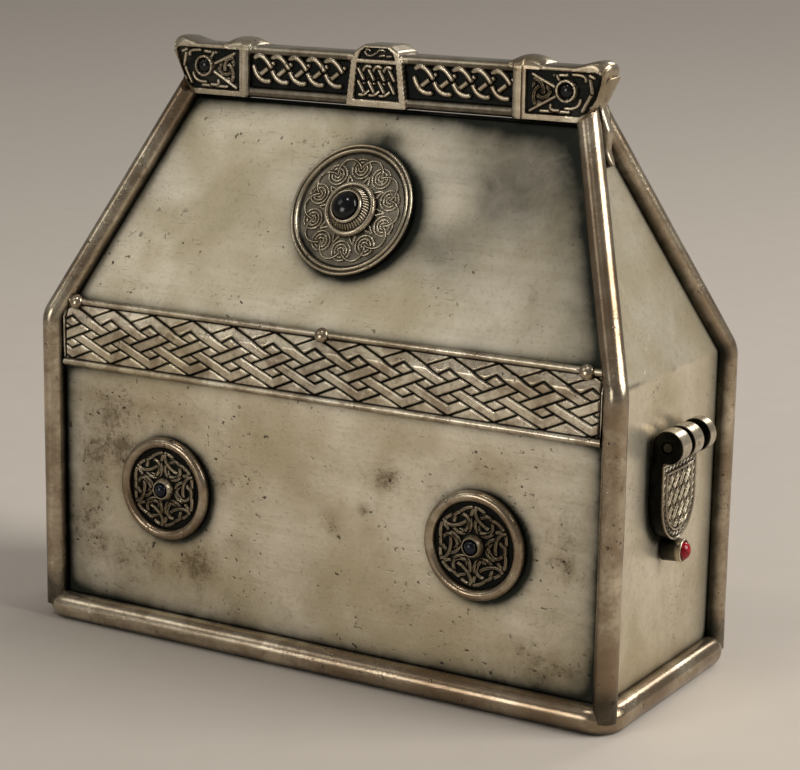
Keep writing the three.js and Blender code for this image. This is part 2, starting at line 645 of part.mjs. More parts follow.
const wall = wallPlate();
const roof = roofPlate();
const rivet = dome(RIVET_R, RIVET_SEAT + GAP, RIVET_SEAT + 0.7, RIVET_SEAT + 1.9, 9);
for (const [side, place] of [['front', asBuilt], ['back', halfTurn]]) {
  add(`${side}_wall_plate`, wall, plateSilver, place);
  add(`${side}_roof_plate`, roof, plateSilver, place);
  add(`${side}_band`, band(side === 'front'), silver, place);
  for (const [name, x] of Object.entries(RIVETS)) {
    add(`${side}_band_rivet_${name}`, rivet, rubbed, place.clone().multiply(shifted(frontRoof, x, RIVET_V)));
  }
}

const medallionRing = wallRing();
const medallionDisc = wallDisc();
for (const [side, sx] of [['left', -1], ['right', 1]]) {
  const place = shifted(frontWall, sx * WALL_MED_X, WALL_MED_Z);
  add(`wall_medallion_ring_${side}`, medallionRing, rubbed, place);
  add(`wall_medallion_disc_${side}`, medallionDisc, silver, place);
  add(`wall_medallion_stone_${side}`, dome(WALL_STONE_R, 2.5, 3.1, 4.3, 10), darkBlue, place);
}

const roofPlace = shifted(frontRoof, 0, ROOF_MED_V);
add('roof_medallion', roofDisc(), darkSilver, roofPlace);
add('roof_medallion_boss', roofBoss(), silver, roofPlace);
add('roof_medallion_stone', dome(BOSS_STONE_R, 4.5, 4.9, 6.7, 14), jet, roofPlace);

const end = endPlate();
const mount = strapMount();
const hipTongue = tongue();
for (const [side, place] of [['right', asBuilt], ['left', halfTurn]]) {
  const onEnd = place.clone().multiply(rightEnd);
  add(`${side}_end_plate`, end, plateSilver, place);
  add(`strap_mount_${side}`, mount, silver, onEnd);
  add(`strap_pin_${side}`, strapPin(), rubbed, onEnd);
  add(`strap_stone_${side}`, dome(RED_STONE_R, COLLAR_H - 0.9, COLLAR_H, COLLAR_H + 1.6, 12), red,
    shifted(onEnd, 0, COLLAR_Z));
  add(`ridge_tongue_${side}`, hipTongue, silver, place);
}

add('ridge_pole', ridgePole(), silver);
const eyeStone = dome(EYE.r - GAP, HEAD_Y + GAP, HEAD_Y + 0.6, HEAD_Y + 1.5, 10);
for (const [side, place] of [['front', asBuilt], ['back', halfTurn]]) {
  for (const [name, sx] of [['left', -1], ['right', 1]]) {
    const x = side === 'front' ? sx * EYE.x : -sx * EYE.x;
    const from = side === 'front' ? -0.8 : 0;
    add(`eye_stone_${side}_${name}`, eyeStone, jet, place.clone().multiply(shifted(facing, x, EYE.z, from)));
  }
}

export default group;
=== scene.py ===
"""House-shaped reliquary casket in aged silvered bronze: surfaces, finishes, light and camera."""
import math

import bmesh
import bpy
import numpy as np
from mathutils import Matrix, Vector


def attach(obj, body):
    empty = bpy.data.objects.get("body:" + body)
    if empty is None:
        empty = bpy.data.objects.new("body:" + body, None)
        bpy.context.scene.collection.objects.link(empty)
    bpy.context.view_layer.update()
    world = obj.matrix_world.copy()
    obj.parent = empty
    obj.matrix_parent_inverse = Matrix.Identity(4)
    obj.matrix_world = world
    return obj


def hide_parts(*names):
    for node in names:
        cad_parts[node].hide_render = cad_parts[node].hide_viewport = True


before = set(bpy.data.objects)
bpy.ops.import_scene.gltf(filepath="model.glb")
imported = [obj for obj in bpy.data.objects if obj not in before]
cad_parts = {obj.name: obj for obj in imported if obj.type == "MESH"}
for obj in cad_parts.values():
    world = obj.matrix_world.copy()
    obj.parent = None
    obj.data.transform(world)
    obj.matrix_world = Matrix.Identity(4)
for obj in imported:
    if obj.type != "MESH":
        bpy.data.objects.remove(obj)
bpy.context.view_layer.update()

# Driving dimensions in millimetres, as in the solids
MM = 0.001
GAP = 0.3
HALF_LENGTH = 85.0
HALF_DEPTH = 33.0
EAVE_Z = 85.6
RIDGE_FOOT_Z = 145.6
RIDGE_FOOT_X = 61.0
RIDGE_FOOT_Y = 3.6
PLATE_INSET = 1.0
CORNER_R = 3.05
BEND_R = 7.0
BASE_R = 3.5
BASE_Z = 3.7
BASE_OUT = 0.5
BASE_CORNER_R = 5.0

BAND_HALF = 81.4
BAND_FIELD = (-11.0, 3.5)
BAND_FIELD_HALF = 80.8
BAND_BORDER = (-13.3, 5.6)
BAND_BORDER_H = (1.6, 1.9)
BAND_FACE = 1.35
STRAP_W = 2.7
PITCH = 13.1
RIVETS = {"left": -78.0, "middle": 1.2, "right": 76.5}
RIVET_V = 4.2
RIVET_R = 2.0
RIVET_FOOT = 1.7

WALL_MED = (47.6, 42.2)
WALL_RING_R = (11.3, 14.2)
WALL_RING_H = 2.6
WALL_DISC_R = 11.0
WALL_DISC_FLOOR = 1.1
COLLAR_FOOT_R = 3.1
KNOT_ORBIT = 6.5
KNOT_RING_R = 2.7
KNOT_CENTRE = (7.45, 0.0)
KNOT_STRETCH = (3.1, 5.2)
KNOT_W = 0.9
CROSSING_SLIT = 0.3

ROOF_MED_V = 38.2
ROOF_MED_R = 17.9
ROUNDELS = 10
ROUNDEL_ORBIT = 11.2
ROUNDEL_W = 0.46

MOUNT_TOP_Z = 63.5
MOUNT_HALF = 10.25
MOUNT_SHOULDER_Z = 54.0
MOUNT_TIP_Z = 42.5
MOUNT_FACE = 3.4
KNUCKLE_R = 4.3
KNUCKLE_Z = 68.3
KNUCKLES = ((-10.2, -5.0), (-2.8, 2.5), (6.6, 10.2))
PIN_R = 1.3
COLLAR_Z = 39.7
COLLAR_H = 5.9
RED_STONE_R = 2.3

PANEL_Y = 3.4
PANEL_X = (10.9, 38.9)
HEAD_Y = 4.4
BLOCK_Y = 5.1
HUMP_X = 43.3
EYE = (54.8, 153.3)
EYE_R = 2.1

# Faces that carry the ornament: origin, the two directions in the face, and the way out of it
HIP_X = (HALF_LENGTH - RIDGE_FOOT_X) / (RIDGE_FOOT_Z - EAVE_Z)
HIP_Y = (HALF_DEPTH - RIDGE_FOOT_Y) / (RIDGE_FOOT_Z - EAVE_Z)
WALL_Y = -HALF_DEPTH + PLATE_INSET
END_X = HALF_LENGTH - PLATE_INSET
ROOF_LEAN = math.atan(HIP_Y)
END_LEAN = math.atan(HIP_X)
CREASE_Z = EAVE_Z - PLATE_INSET * math.tan(ROOF_LEAN / 2)
END_CREASE_Z = EAVE_Z - PLATE_INSET * math.tan(END_LEAN / 2)
X, Y, Z = np.eye(3)


def face(origin, u, v):
    """A face's frame: its origin, its two directions and its outward direction u x v."""
    return np.array(origin, float), np.array(u, float), np.array(v, float), np.cross(u, v)


FRONT_WALL = face((0, WALL_Y, 0), X, Z)
FRONT_ROOF = face((0, WALL_Y, CREASE_Z), X, (0, math.sin(ROOF_LEAN), math.cos(ROOF_LEAN)))
RIGHT_END = face((END_X, 0, 0), Y, Z)
RIGHT_HIP = face((END_X, 0, END_CREASE_Z), Y, (-math.sin(END_LEAN), 0, math.cos(END_LEAN)))


def place(frame_of, u, v, n):
    """Points in space from distances u and v along a face and n out of it."""
    origin, along, up, out = frame_of
    u, v, n = np.broadcast_arrays(u, v, n)
    return origin + u[..., None] * along + v[..., None] * up + n[..., None] * out


def half_turn(points):
    """The same points turned half way round the vertical axis."""
    return points * np.array([-1.0, -1.0, 1.0])


# Smooth, repeatable unevenness: a few sine waves with fixed directions and phases

def waver(a, b, scale, seed=0.0):
    """Sum of six sine waves of a and b, from -1 to 1, whose shortest wave is about scale long."""
    total = np.zeros(np.broadcast(a, b).shape)
    for k in range(6):
        turn = 2.399 * k + seed
        wave = scale * (1.0 + 0.55 * k)
        total = total + np.sin(2 * math.pi * (a * math.cos(turn) + b * math.sin(turn)) / wave + 5.1 * turn)
    return total / 6


def smooth(low, high, x):
    """Zero below low, one above high, and a smooth S between."""
    t = np.clip((x - low) / (high - low), 0.0, 1.0)
    return t * t * (3 - 2 * t)


# Surfaces as grids of points

def closed_at_ends(points, values):
    """Adds a first and a last row drawn together into the middle of the end rows."""
    first = np.broadcast_to(points[0].mean(0), points[0].shape)
    last = np.broadcast_to(points[-1].mean(0), points[-1].shape)
    rows = np.concatenate([first[None], points, last[None]])
    return rows, np.concatenate([values[:1], values, values[-1:]])


def sheet(points, values=1.0, wrap_u=False, wrap_v=False, ends=False):
    """A patch for make(): points over u and v, a value at each, and which directions close."""
    values = np.broadcast_to(np.asarray(values, float), points.shape[:2])
    if ends:
        points, values = closed_at_ends(points, values)
    return points, values, wrap_u, wrap_v


def quads_of(nu, nv, wrap_u, wrap_v, start):
    """Corner numbers of a grid's quads, as one array."""
    index = np.arange(nu * nv).reshape(nu, nv) + start
    if wrap_u:
        index = np.concatenate([index, index[:1]], 0)
    if wrap_v:
        index = np.concatenate([index, index[:, :1]], 1)
    return np.stack([index[:-1, :-1], index[1:, :-1], index[1:, 1:], index[:-1, 1:]], -1).reshape(-1, 4)


def volume(points, quads):
    """Six times the signed volume inside the quads, each split into two triangles."""
    a, b, c, d = (points[quads[:, i]] for i in range(4))
    return float(np.sum(a * np.cross(b, c)) + np.sum(a * np.cross(c, d)))


def make(name, patches, material, sharp=35.0, closed=True, stain=None):
    """One mesh from patches, in metres, with the patches' values as the attribute relief and the
    stain at each point, if a function gives it, as the attribute stain."""
    points, values, quads, start = [], [], [], 0
    for grid, value, wrap_u, wrap_v in patches:
        nu, nv = grid.shape[:2]
        corners = quads_of(nu, nv, wrap_u, wrap_v, 0)
        flat = grid.reshape(-1, 3)
        if closed and volume(flat - flat.mean(0), corners) < 0:
            corners = corners[:, ::-1]
        points.append(flat)
        values.append(value.reshape(-1))
        quads.append(corners + start)
        start += len(flat)
    points, quads = np.concatenate(points) * MM, np.concatenate(quads).astype(np.int32)
    mesh = bpy.data.meshes.new(name)
    mesh.vertices.add(len(points))
    mesh.vertices.foreach_set("co", points.astype(np.float32).ravel())
    mesh.loops.add(quads.size)
    mesh.loops.foreach_set("vertex_index", quads.ravel())
    mesh.polygons.add(len(quads))
    mesh.polygons.foreach_set("loop_start", np.arange(0, quads.size, 4, dtype=np.int32))
    mesh.update(calc_edges=True)
    relief = mesh.attributes.new("relief", "FLOAT", "POINT")
    relief.data.foreach_set("value", np.concatenate(values).astype(np.float32))
    if stain is not None:
        stained = mesh.attributes.new("stain", "FLOAT", "POINT")
        stained.data.foreach_set("value", stain(points / MM).astype(np.float32))
    merge_doubles(mesh)
    mesh.polygons.foreach_set("use_smooth", np.ones(len(mesh.polygons), dtype=bool))
    mesh.set_sharp_from_angle(angle=math.radians(sharp))
    mesh.materials.append(material)
    piece = bpy.data.objects.new(name, mesh)
    bpy.context.scene.collection.objects.link(piece)
    return piece


def merge_doubles(mesh):
    """Closes seams and poles by merging points that lie on each other."""
    loose = bmesh.new()
    loose.from_mesh(mesh)
    bmesh.ops.remove_doubles(loose, verts=loose.verts, dist=2e-6)
    bmesh.ops.dissolve_degenerate(loose, edges=loose.edges, dist=1e-7)
    loose.to_mesh(mesh)
    loose.free()


def dress(piece, slot, *nodes):
    """The piece stands for the nodes and rides on the body; the slot is not used."""
    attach(piece, "root")
    if nodes:
        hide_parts(*nodes)
    return piece


def moved(frame_of, u, v, n=0.0):
    """The same face with its origin moved along it."""
    origin, along, up, out = frame_of
    return origin + u * along + v * up + n * out, along, up, out


# Raised lines: each strand is a line of points with a lift, 1 where it passes over another, -1 under

def curve_through(a, b, c, steps=9):
    """Points of the parabola that starts at a, passes b half way and ends at c, all at one level."""
    a, b, c = (np.array(p, float) for p in (a, b, c))
    t = np.linspace(0, 1, steps)[:, None]
    points = (1 - t) ** 2 * a + 2 * t * (1 - t) * (2 * b - (a + c) / 2) + t ** 2 * c
    return points, np.zeros(steps)


def straight(a, b, level=0.0):
    return np.array([a, b], float), np.full(2, level)


def ellipse(centre, radii, start=0.0, end=360.0, waves=0.0, steps=30):
    """Points of an ellipse's arc, whose lift swings as a cosine, waves times in a full turn."""
    a = np.radians(np.linspace(start, end, steps))
    points = np.stack([centre[0] + radii[0] * np.cos(a), centre[1] + radii[1] * np.sin(a)], 1)
    return points, 1.6 * np.cos(waves * a) if waves else np.zeros(steps)


def three_point_knot(centre, stretch, steps=13):
    """Three half circles between the points of a triangle, one of which is at the left. Each one
    passes over the first it meets and under the second."""
    arc = np.linspace(90, 270, steps)
    lifts = np.interp(arc, (90, 130, 150, 180, 210, 230, 270), (0, 0.6, 1, 0, -1, -0.6, 0))
    strands = []
    for k in range(3):
        turn = 2 * math.pi * k / 3
        u = 0.5 * math.cos(turn) + math.sqrt(0.75) * np.cos(turn + np.radians(arc))
        v = 0.5 * math.sin(turn) + math.sqrt(0.75) * np.sin(turn + np.radians(arc))
        strands.append((np.stack([centre[0] + stretch[0] * u, centre[1] + stretch[1] * v], 1), lifts))
    return strands


def mirrored(strands):
    return [(points * np.array([-1.0, 1.0]), lifts) for points, lifts in strands]


def nearest_on_segment(x, y, a, b):
    """Distance from the points to the segment from a to b, and how far along it the nearest is."""
    dx, dy = b - a
    t = np.clip(((x - a[0]) * dx + (y - a[1]) * dy) / (dx * dx + dy * dy), 0, 1)
    return np.hypot(x - a[0] - t * dx, y - a[1] - t * dy), t


def topmost(x, y, strands, width):
    """Distance to the centre line of the strand that lies on top, and its lift. A point beside a
    strand belongs to whichever is higher once its rank has dropped by six for each millimetre. A
    strand also claims a sliver on each side, which leaves a dark slit where it crosses another."""
    width = width * (1 + CROSSING_SLIT)
    rank = np.full(x.shape, -99.0)
    distance = np.full(x.shape, 9.0)
    lift = np.zeros(x.shape)
    for points, lifts in strands:
        low, high = points.min(0) - width, points.max(0) + width
        near = (x > low[0]) & (x < high[0]) & (y > low[1]) & (y < high[1])
        if not near.any():
            continue
        px, py = x[near], y[near]
        d, level = np.full(px.shape, 9.0), np.zeros(px.shape)
        for i in range(len(points) - 1):
            e, t = nearest_on_segment(px, py, points[i], points[i + 1])
            closer = e < d
            d = np.where(closer, e, d)
            level = np.where(closer, lifts[i] + (lifts[i + 1] - lifts[i]) * t, level)
        own = level - 6 * np.maximum(d - width / 2, 0)
        wins = own > rank[near]
        rank[near] = np.where(wins, own, rank[near])
        distance[near] = np.where(wins, d, distance[near])
        lift[near] = np.where(wins, level, lift[near])
    return distance, lift


def cord(distance, width, groove=0.0):
    """Height across a strand, from 1 on top to 0 beside it, with a groove of that share of it."""
    across = distance / (width / 2)
    crown = np.sqrt(np.clip(1 - (across / 1.05) ** 4, 0, 1))
    return crown * (1 - groove * (1 - smooth(0.08, 0.42, across)))


# Turned pieces

def cut_corners(profile, rounds=2):
    """A smoother line: each corner is replaced by points a quarter of the way along its two sides."""
    line = np.array(profile, float)
    for _ in range(rounds):
        a, b = line[:-1], line[1:]
        cut = np.stack([0.75 * a + 0.25 * b, 0.25 * a + 0.75 * b], 1).reshape(-1, 2)
        line = np.concatenate([line[:1], cut, line[-1:]])
    return line


def dome_profile(radius, foot, seat, top, steps=9):
    """From the axis under the stone, out to its rim, and over its crown."""
    a = np.linspace(0, math.pi / 2, steps)
    crown = np.stack([radius * np.cos(a), seat + (top - seat) * np.sin(a)], 1)
    return np.concatenate([[[0, foot], [radius * 0.98, foot]], crown])


def turned(frame_of, profile, steps, values=1.0, relief=None, hollow=False):
    """A profile of radius and height turned about a face's outward direction. The relief, if any,
    gives new heights and values from the angle, the radius and the height."""
    profile = np.array(profile, float)
    angle = np.arange(steps)[:, None] / steps * 2 * math.pi
    radius = np.broadcast_to(profile[:, 0], (steps, len(profile)))
    height = np.broadcast_to(profile[:, 1], (steps, len(profile)))
    if relief is not None:
        height, values = relief(angle, radius, height)
    points = place(frame_of, radius * np.cos(angle), radius * np.sin(angle), height)
    return sheet(points, values, wrap_u=True, wrap_v=hollow)


def stone(name, frame_of, radius, foot, seat, top, material, slot_name, *nodes):
    """A cabochon: half an ellipsoid on a short cylinder."""
    dome = turned(frame_of, dome_profile(radius, foot, seat, top, 14), 48)
    return dress(make(name, [dome], material), slot_name, *nodes)


# Finishes

def node(tree, kind, **settings):
    made = tree.nodes.new(kind)
    for key, value in settings.items():
        if key in made.inputs:
            made.inputs[key].default_value = value
        else:
            setattr(made, key, value)
    return made


def mix(tree, factor, a, b):
    """A colour mixed from a to b; each may be a socket or a plain colour."""
    made = tree.nodes.new("ShaderNodeMix")
    made.data_type = "RGBA"
    for socket, value in ((made.inputs["Factor"], factor), (made.inputs[6], a), (made.inputs[7], b)):
        if isinstance(value, bpy.types.NodeSocket):
            tree.links.new(value, socket)
        else:
            socket.default_value = value
    return made.outputs[2]


def calc(tree, operation, *values):
    made = tree.nodes.new("ShaderNodeMath")
    made.operation = operation
    for socket, value in zip(made.inputs, values):
        if isinstance(value, bpy.types.NodeSocket):
            tree.links.new(value, socket)
        else:
            socket.default_value = value
    return made.outputs[0]


def ramp(tree, value, low, high):
    """Zero below low, one above high, and a smooth S between, as a node."""
    made = node(tree, "ShaderNodeMapRange", interpolation_type="SMOOTHSTEP")
    tree.links.new(value, made.inputs["Value"])
    made.inputs["From Min"].default_value = low
    made.inputs["From Max"].default_value = high
    return made.outputs["Result"]


def noise(tree, scale, detail=4.0, rough=0.55, stretch=(1, 1, 1), turn=(0, 0, 0), warp=0.0):
    coordinates = tree.nodes.new("ShaderNodeTexCoord")
    mapping = node(tree, "ShaderNodeMapping")
    mapping.inputs["Scale"].default_value = stretch
    mapping.inputs["Rotation"].default_value = turn
    tree.links.new(coordinates.outputs["Object"], mapping.inputs["Vector"])
    made = node(tree, "ShaderNodeTexNoise", Scale=scale, Detail=detail, Roughness=rough, Distortion=warp)
    tree.links.new(mapping.outputs["Vector"], made.inputs["Vector"])
    return made.outputs["Fac"]


def rgb(text):
    """A linear colour from the six hexadecimal digits of a screen colour."""
    parts = [int(text[i:i + 2], 16) / 255 for i in (0, 2, 4)]
    return tuple(c / 12.92 if c <= 0.04045 else ((c + 0.055) / 1.055) ** 2.4 for c in parts) + (1.0,)


SILVER_LIGHT = rgb("e2d8c3")
SILVER = rgb("bdb092")
PALE_GOLD = rgb("d3c8b2")
BRASSY = rgb("968971")
WORN_LIGHT = rgb("c9bca4")
WORN_BROWN = rgb("7f6b55")
FILM = rgb("8a7757")
STAIN = rgb("5f5038")
PIT = rgb("2a241a")
PATINA_AND_SHADE = rgb("23251f")
BLACK_GREEN = rgb("0b0d0a")


def metal(name, light, middle, rough, dark=PATINA_AND_SHADE, brown=None, brown_share=0.0, fine=1.0, dents=0.0):
    """Aged metal. Colour: light to middle in soft clouds, brown where rubbed, grainy stains where the
    attribute stain is high, pits in clusters, and the dark tone, patina and painted shade, where the
    attribute relief is low.
    Surface: shallow dents, brushed hair lines, grain and pits."""
    material = bpy.data.materials.new(name)
    material.use_nodes = True
    tree = material.node_tree
    tree.nodes.clear()
    shader = node(tree, "ShaderNodeBsdfPrincipled", Metallic=0.86)
    output = tree.nodes.new("ShaderNodeOutputMaterial")
    tree.links.new(shader.outputs[0], output.inputs[0])

    def times(a, b):
        return calc(tree, "MULTIPLY", a, b)

    def plus(a, b):
        return calc(tree, "ADD", a, b)

    def attribute(label):
        return node(tree, "ShaderNodeAttribute", attribute_name=label).outputs["Fac"]

    cloud = noise(tree, 34, 4, 0.55, warp=0.3)
    blotch = noise(tree, 120, 7, 0.62, warp=0.5)
    grain = noise(tree, 950, 5, 0.65)
    speck = noise(tree, 600, 3, 0.5)
    cluster = noise(tree, 60, 3, 0.6)
    brushed = noise(tree, 420, 3, 0.6, (0.06, 1, 1), (0.0, 0.1, 0.0))
    hair = noise(tree, 240, 1, 0.4, (1, 1, 20), (0.35, 0.95, 0.5))
    uneven = calc(tree, "SUBTRACT", blotch, 0.5)

    color = mix(tree, ramp(tree, cloud, 0.32, 0.7), light, middle)
    color = mix(tree, times(ramp(tree, brushed, 0.45, 0.75), 0.35), color, middle)
    color = mix(tree, times(ramp(tree, grain, 0.5, 0.78), 0.3), color, STAIN)
    if brown:
        rubbed = ramp(tree, plus(blotch, times(grain, 0.3)), 0.52, 0.78)
        color = mix(tree, times(rubbed, brown_share), color, brown)

    stain = attribute("stain")
    film = plus(stain, times(uneven, 1.6))
    color = mix(tree, times(ramp(tree, film, 0.0, 0.95), 0.6), color, FILM)
    grainy = plus(plus(times(blotch, 0.7), times(grain, 0.6)), times(stain, 0.36))
    stained = ramp(tree, grainy, 0.84, 1.06)
    color = mix(tree, times(stained, 0.6), color, STAIN)
    reach = ramp(tree, plus(cluster, times(stain, 0.2)), 0.42, 0.62)
    pits = times(ramp(tree, speck, 0.64, 0.7), reach)
    color = mix(tree, times(pits, 0.8), color, PIT)
    scratch = times(ramp(tree, hair, 0.68, 0.72), ramp(tree, cluster, 0.45, 0.6))
    color = mix(tree, times(scratch, 0.3), color, PIT)

    # The dark tone where relief is low stands for patina and for painted shade.
    shade = calc(tree, "SUBTRACT", 1.0, attribute("relief"))
    shade = ramp(tree, plus(shade, times(uneven, times(shade, 0.6))), 0.0, 1.0)
    tree.links.new(mix(tree, shade, color, dark), shader.inputs["Base Color"])

    gloss = plus(rough - 0.06, times(cloud, 0.14))
    for amount, share in ((stained, 0.2), (pits, 0.2), (shade, 0.12)):
        gloss = plus(gloss, times(amount, share))
    tree.links.new(gloss, shader.inputs["Roughness"])

    height = times(grain, 0.5)
    for amount, share in ((scratch, -0.6), (pits, -1.2), (brushed, 0.35), (stained, 0.3)):
        height = plus(height, times(amount, share))
    bump = node(tree, "ShaderNodeBump", Strength=0.3 * fine, Distance=0.0003)
    tree.links.new(height, bump.inputs["Height"])
    if dents:
        broad = node(tree, "ShaderNodeBump", Strength=dents, Distance=0.004)
        tree.links.new(noise(tree, 26, 2, 0.45, warp=0.2), broad.inputs["Height"])
        tree.links.new(broad.outputs["Normal"], bump.inputs["Normal"])
    tree.links.new(bump.outputs["Normal"], shader.inputs["Normal"])
    return material


def cabochon(name, color, deep, glow=0.0):
    """A polished stone: a deep body colour with faint clouds under a clear coat."""
    material = bpy.data.materials.new(name)
    material.use_nodes = True
    tree = material.node_tree
    shader = tree.nodes["Principled BSDF"]
    shader.inputs["Roughness"].default_value = 0.14
    shader.inputs["Specular IOR Level"].default_value = 0.3
    shader.inputs["Coat Weight"].default_value = 0.1
    shader.inputs["Coat Roughness"].default_value = 0.04
    cloud = noise(tree, 420, 3, 0.6, warp=0.5)
    tree.links.new(mix(tree, ramp(tree, cloud, 0.35, 0.7), color, deep), shader.inputs["Base Color"])
    if glow:
        shader.inputs["Subsurface Weight"].default_value = glow
        shader.inputs["Subsurface Radius"].default_value = (0.002, 0.0004, 0.0004)
    return material


PLATE_METAL = metal("plate_silver", SILVER_LIGHT, SILVER, 0.36, dents=0.25)
BASE_METAL = metal("base_silver", SILVER_LIGHT, SILVER, 0.42)
CAST_METAL = metal("cast_silver", PALE_GOLD, BRASSY, 0.26, dark=BLACK_GREEN, brown=WORN_BROWN,
                   brown_share=0.4, fine=0.6)
BAND_METAL = metal("engraved_silver", SILVER_LIGHT, SILVER, 0.27, dark=BLACK_GREEN, brown=WORN_BROWN,
                   brown_share=0.7)
WORN_METAL = metal("rubbed_bronze", WORN_LIGHT, WORN_BROWN, 0.2, brown=WORN_BROWN, brown_share=0.6)
DARK_METAL = metal("dark_bronze", PALE_GOLD, BRASSY, 0.26, dark=BLACK_GREEN, fine=0.6)
JET = cabochon("black_stone", rgb("060607"), rgb("101012"))
BLUE = cabochon("blue_stone", rgb("080d22"), rgb("05060f"))
RED = cabochon("red_stone", rgb("980b18"), rgb("5e0610"), glow=0.1)


# Bindings

def tube_path(sx, sy):
    """Stations up a corner, round the bend at the eave and along the hip: centre, side, inward."""
    hip = np.array([-sx * HIP_X, -sy * HIP_Y, 1.0])
    hip /= np.linalg.norm(hip)
    lean = math.acos(hip[2])
    side = np.cross(Z, hip)
    side /= np.linalg.norm(side)
    inward = np.cross(side, Z)
    eave = np.array([sx * HALF_LENGTH, sy * HALF_DEPTH, EAVE_Z])
    pivot = eave - Z * BEND_R * math.tan(lean / 2) + inward * BEND_R
    up = np.linspace(BASE_Z, pivot[2], 44)[:-1]
    upright = np.stack([np.full_like(up, eave[0]), np.full_like(up, eave[1]), up], 1)
    turn = np.linspace(0, lean, 10)
    across = np.cos(turn)[:, None] * inward + np.sin(turn)[:, None] * np.cross(side, inward)
    bend = pivot - BEND_R * across
    run = np.linspace(0, 1, 40)[1:, None]
    top = eave + hip * (RIDGE_FOOT_Z + 3.0 - EAVE_Z) / hip[2]
    hip_run = bend[-1] + (top - bend[-1]) * run
    centres = np.concatenate([upright, bend, hip_run])
    inwards = np.concatenate([np.tile(inward, (len(up), 1)), across, np.tile(across[-1], (len(run), 1))])
    return centres, side, inwards, hip


def under_head(x):
    """Height of the underside of the ridge pole's heads at x."""
    return np.interp(np.abs(x), (57, 60, 61.8, 63.4, 70), (145.7, 146.6, 148.0, 151.4, 162)) - 0.1


def corner_tube(sx, sy):
    """A circle carried along the corner's path, a little uneven, and slid back where it would
    pass into the ridge pole."""
    centres, side, inwards, hip = tube_path(sx, sy)
    angle = np.arange(48) / 48 * 2 * math.pi
    run = np.arange(len(centres))[:, None]
    radius = CORNER_R + 0.07 * waver(run, 3.0 * np.cos(angle) + 2.0 * np.sin(angle), 9.0, sx + 2 * sy)
    points = centres[:, None] + radius[..., None] * (np.cos(angle)[None, :, None] * side
                                                     + np.sin(angle)[None, :, None] * inwards[:, None])
    for _ in range(4):
        over = np.maximum(points[..., 2] - under_head(points[..., 0]), 0)
        points = points - (over / hip[2])[..., None] * hip
    points[..., 1] = np.where(sy > 0, np.maximum(points[..., 1], 0.12), np.minimum(points[..., 1], -0.12))
    # Tone: painted shade on the side that faces the plates; also darker toward the foot and at the eave
    # bend.
    facing_plate = smooth(-0.25, 0.9, np.sin(angle))[None, :]
    foot = smooth(9.0, 16.0, points[..., 2])
    eaves = smooth(0.6, 5.0, np.abs(points[..., 2] - EAVE_Z))
    tone_with_painted_shade = (1 - 0.85 * facing_plate) * (0.35 + 0.65 * foot) * (0.6 + 0.4 * eaves)
    return sheet(points, tone_with_painted_shade, wrap_v=True, ends=True)


def base_moulding():
    """A round moulding with a flat foot, carried round a rectangle with rounded corners."""
    cx = HALF_LENGTH + BASE_OUT - BASE_CORNER_R
    cy = HALF_DEPTH + BASE_OUT - BASE_CORNER_R
    rows = []
    for k, (sx, sy) in enumerate(((1, 1), (-1, 1), (-1, -1), (1, -1))):
        turn = (k + np.linspace(0, 1, 12)) * math.pi / 2
        out = np.stack([np.cos(turn), np.sin(turn)], 1)
        rows.append(np.concatenate([(sx * cx, sy * cy) + BASE_CORNER_R * out, out], 1))
    rows = np.concatenate(rows)
    dense = []
    for i in range(len(rows)):
        nxt = rows[(i + 1) % len(rows)]
        steps = max(1, int(np.hypot(*(nxt[:2] - rows[i][:2])) / 2.5))
        dense.append(rows[i] + (nxt - rows[i]) * (np.arange(steps) / steps)[:, None])
    rows = np.concatenate(dense)
    angle = np.linspace(-1.22, math.pi + 1.22, 42)
    run = np.arange(len(rows))[:, None]
    uneven = 1 + 0.016 * waver(run, 8.0 * np.cos(angle), 13.0, 0.7)
    out = BASE_R * np.cos(angle) * uneven
    up = BASE_Z * np.minimum(np.sin(angle) * uneven, 1.0) / np.where(np.sin(angle) < 0, math.sin(1.22), 1)
    up = np.clip(up, -BASE_Z, BASE_Z)
    points = np.stack([rows[:, :1] + rows[:, 2:3] * out, rows[:, 1:2] + rows[:, 3:4] * out,
                       np.broadcast_to(BASE_Z + up, out.shape)], -1)
    # Tone: painted shade on the side against the box and on the underside.
    inner = smooth(0.2, 1.0, -np.cos(angle) * (np.sin(angle) > -0.2))[None, :]
    under = smooth(-0.25, -0.9, np.sin(angle))[None, :]
    tone_with_painted_shade = np.broadcast_to((1 - 0.8 * inner) * (1 - 0.75 * under), out.shape)
    return sheet(points, tone_with_painted_shade, wrap_u=True, wrap_v=True)


# Plates, each with dark patina where it meets a binding or a mount, and painted shade and shadow: under the
# band, round the mounts, over the roof's right half and toward the end's front edge

# Soft spots: place, the two half sizes and the strength
ROOF_CLOUDS = ((42, 46, 16, 11, -0.3), (27, 31, 9, 8, -0.28), (28, 42, 7, 7, 0.22), (38, 12, 22, 8, 0.22))


def spots(a, b, places):
    """Sum of soft round spots, each the bell curve of its distance over its half sizes."""
    return sum(strength * np.exp(-((a - x) / wide) ** 2 - ((b - y) / tall) ** 2)
               for x, y, wide, tall, strength in places)


def patina_and_shade(distance, reach, depth):
    """Amount of tone taken away at a distance from an edge."""
    return depth * np.exp(-np.maximum(distance, 0) / reach)


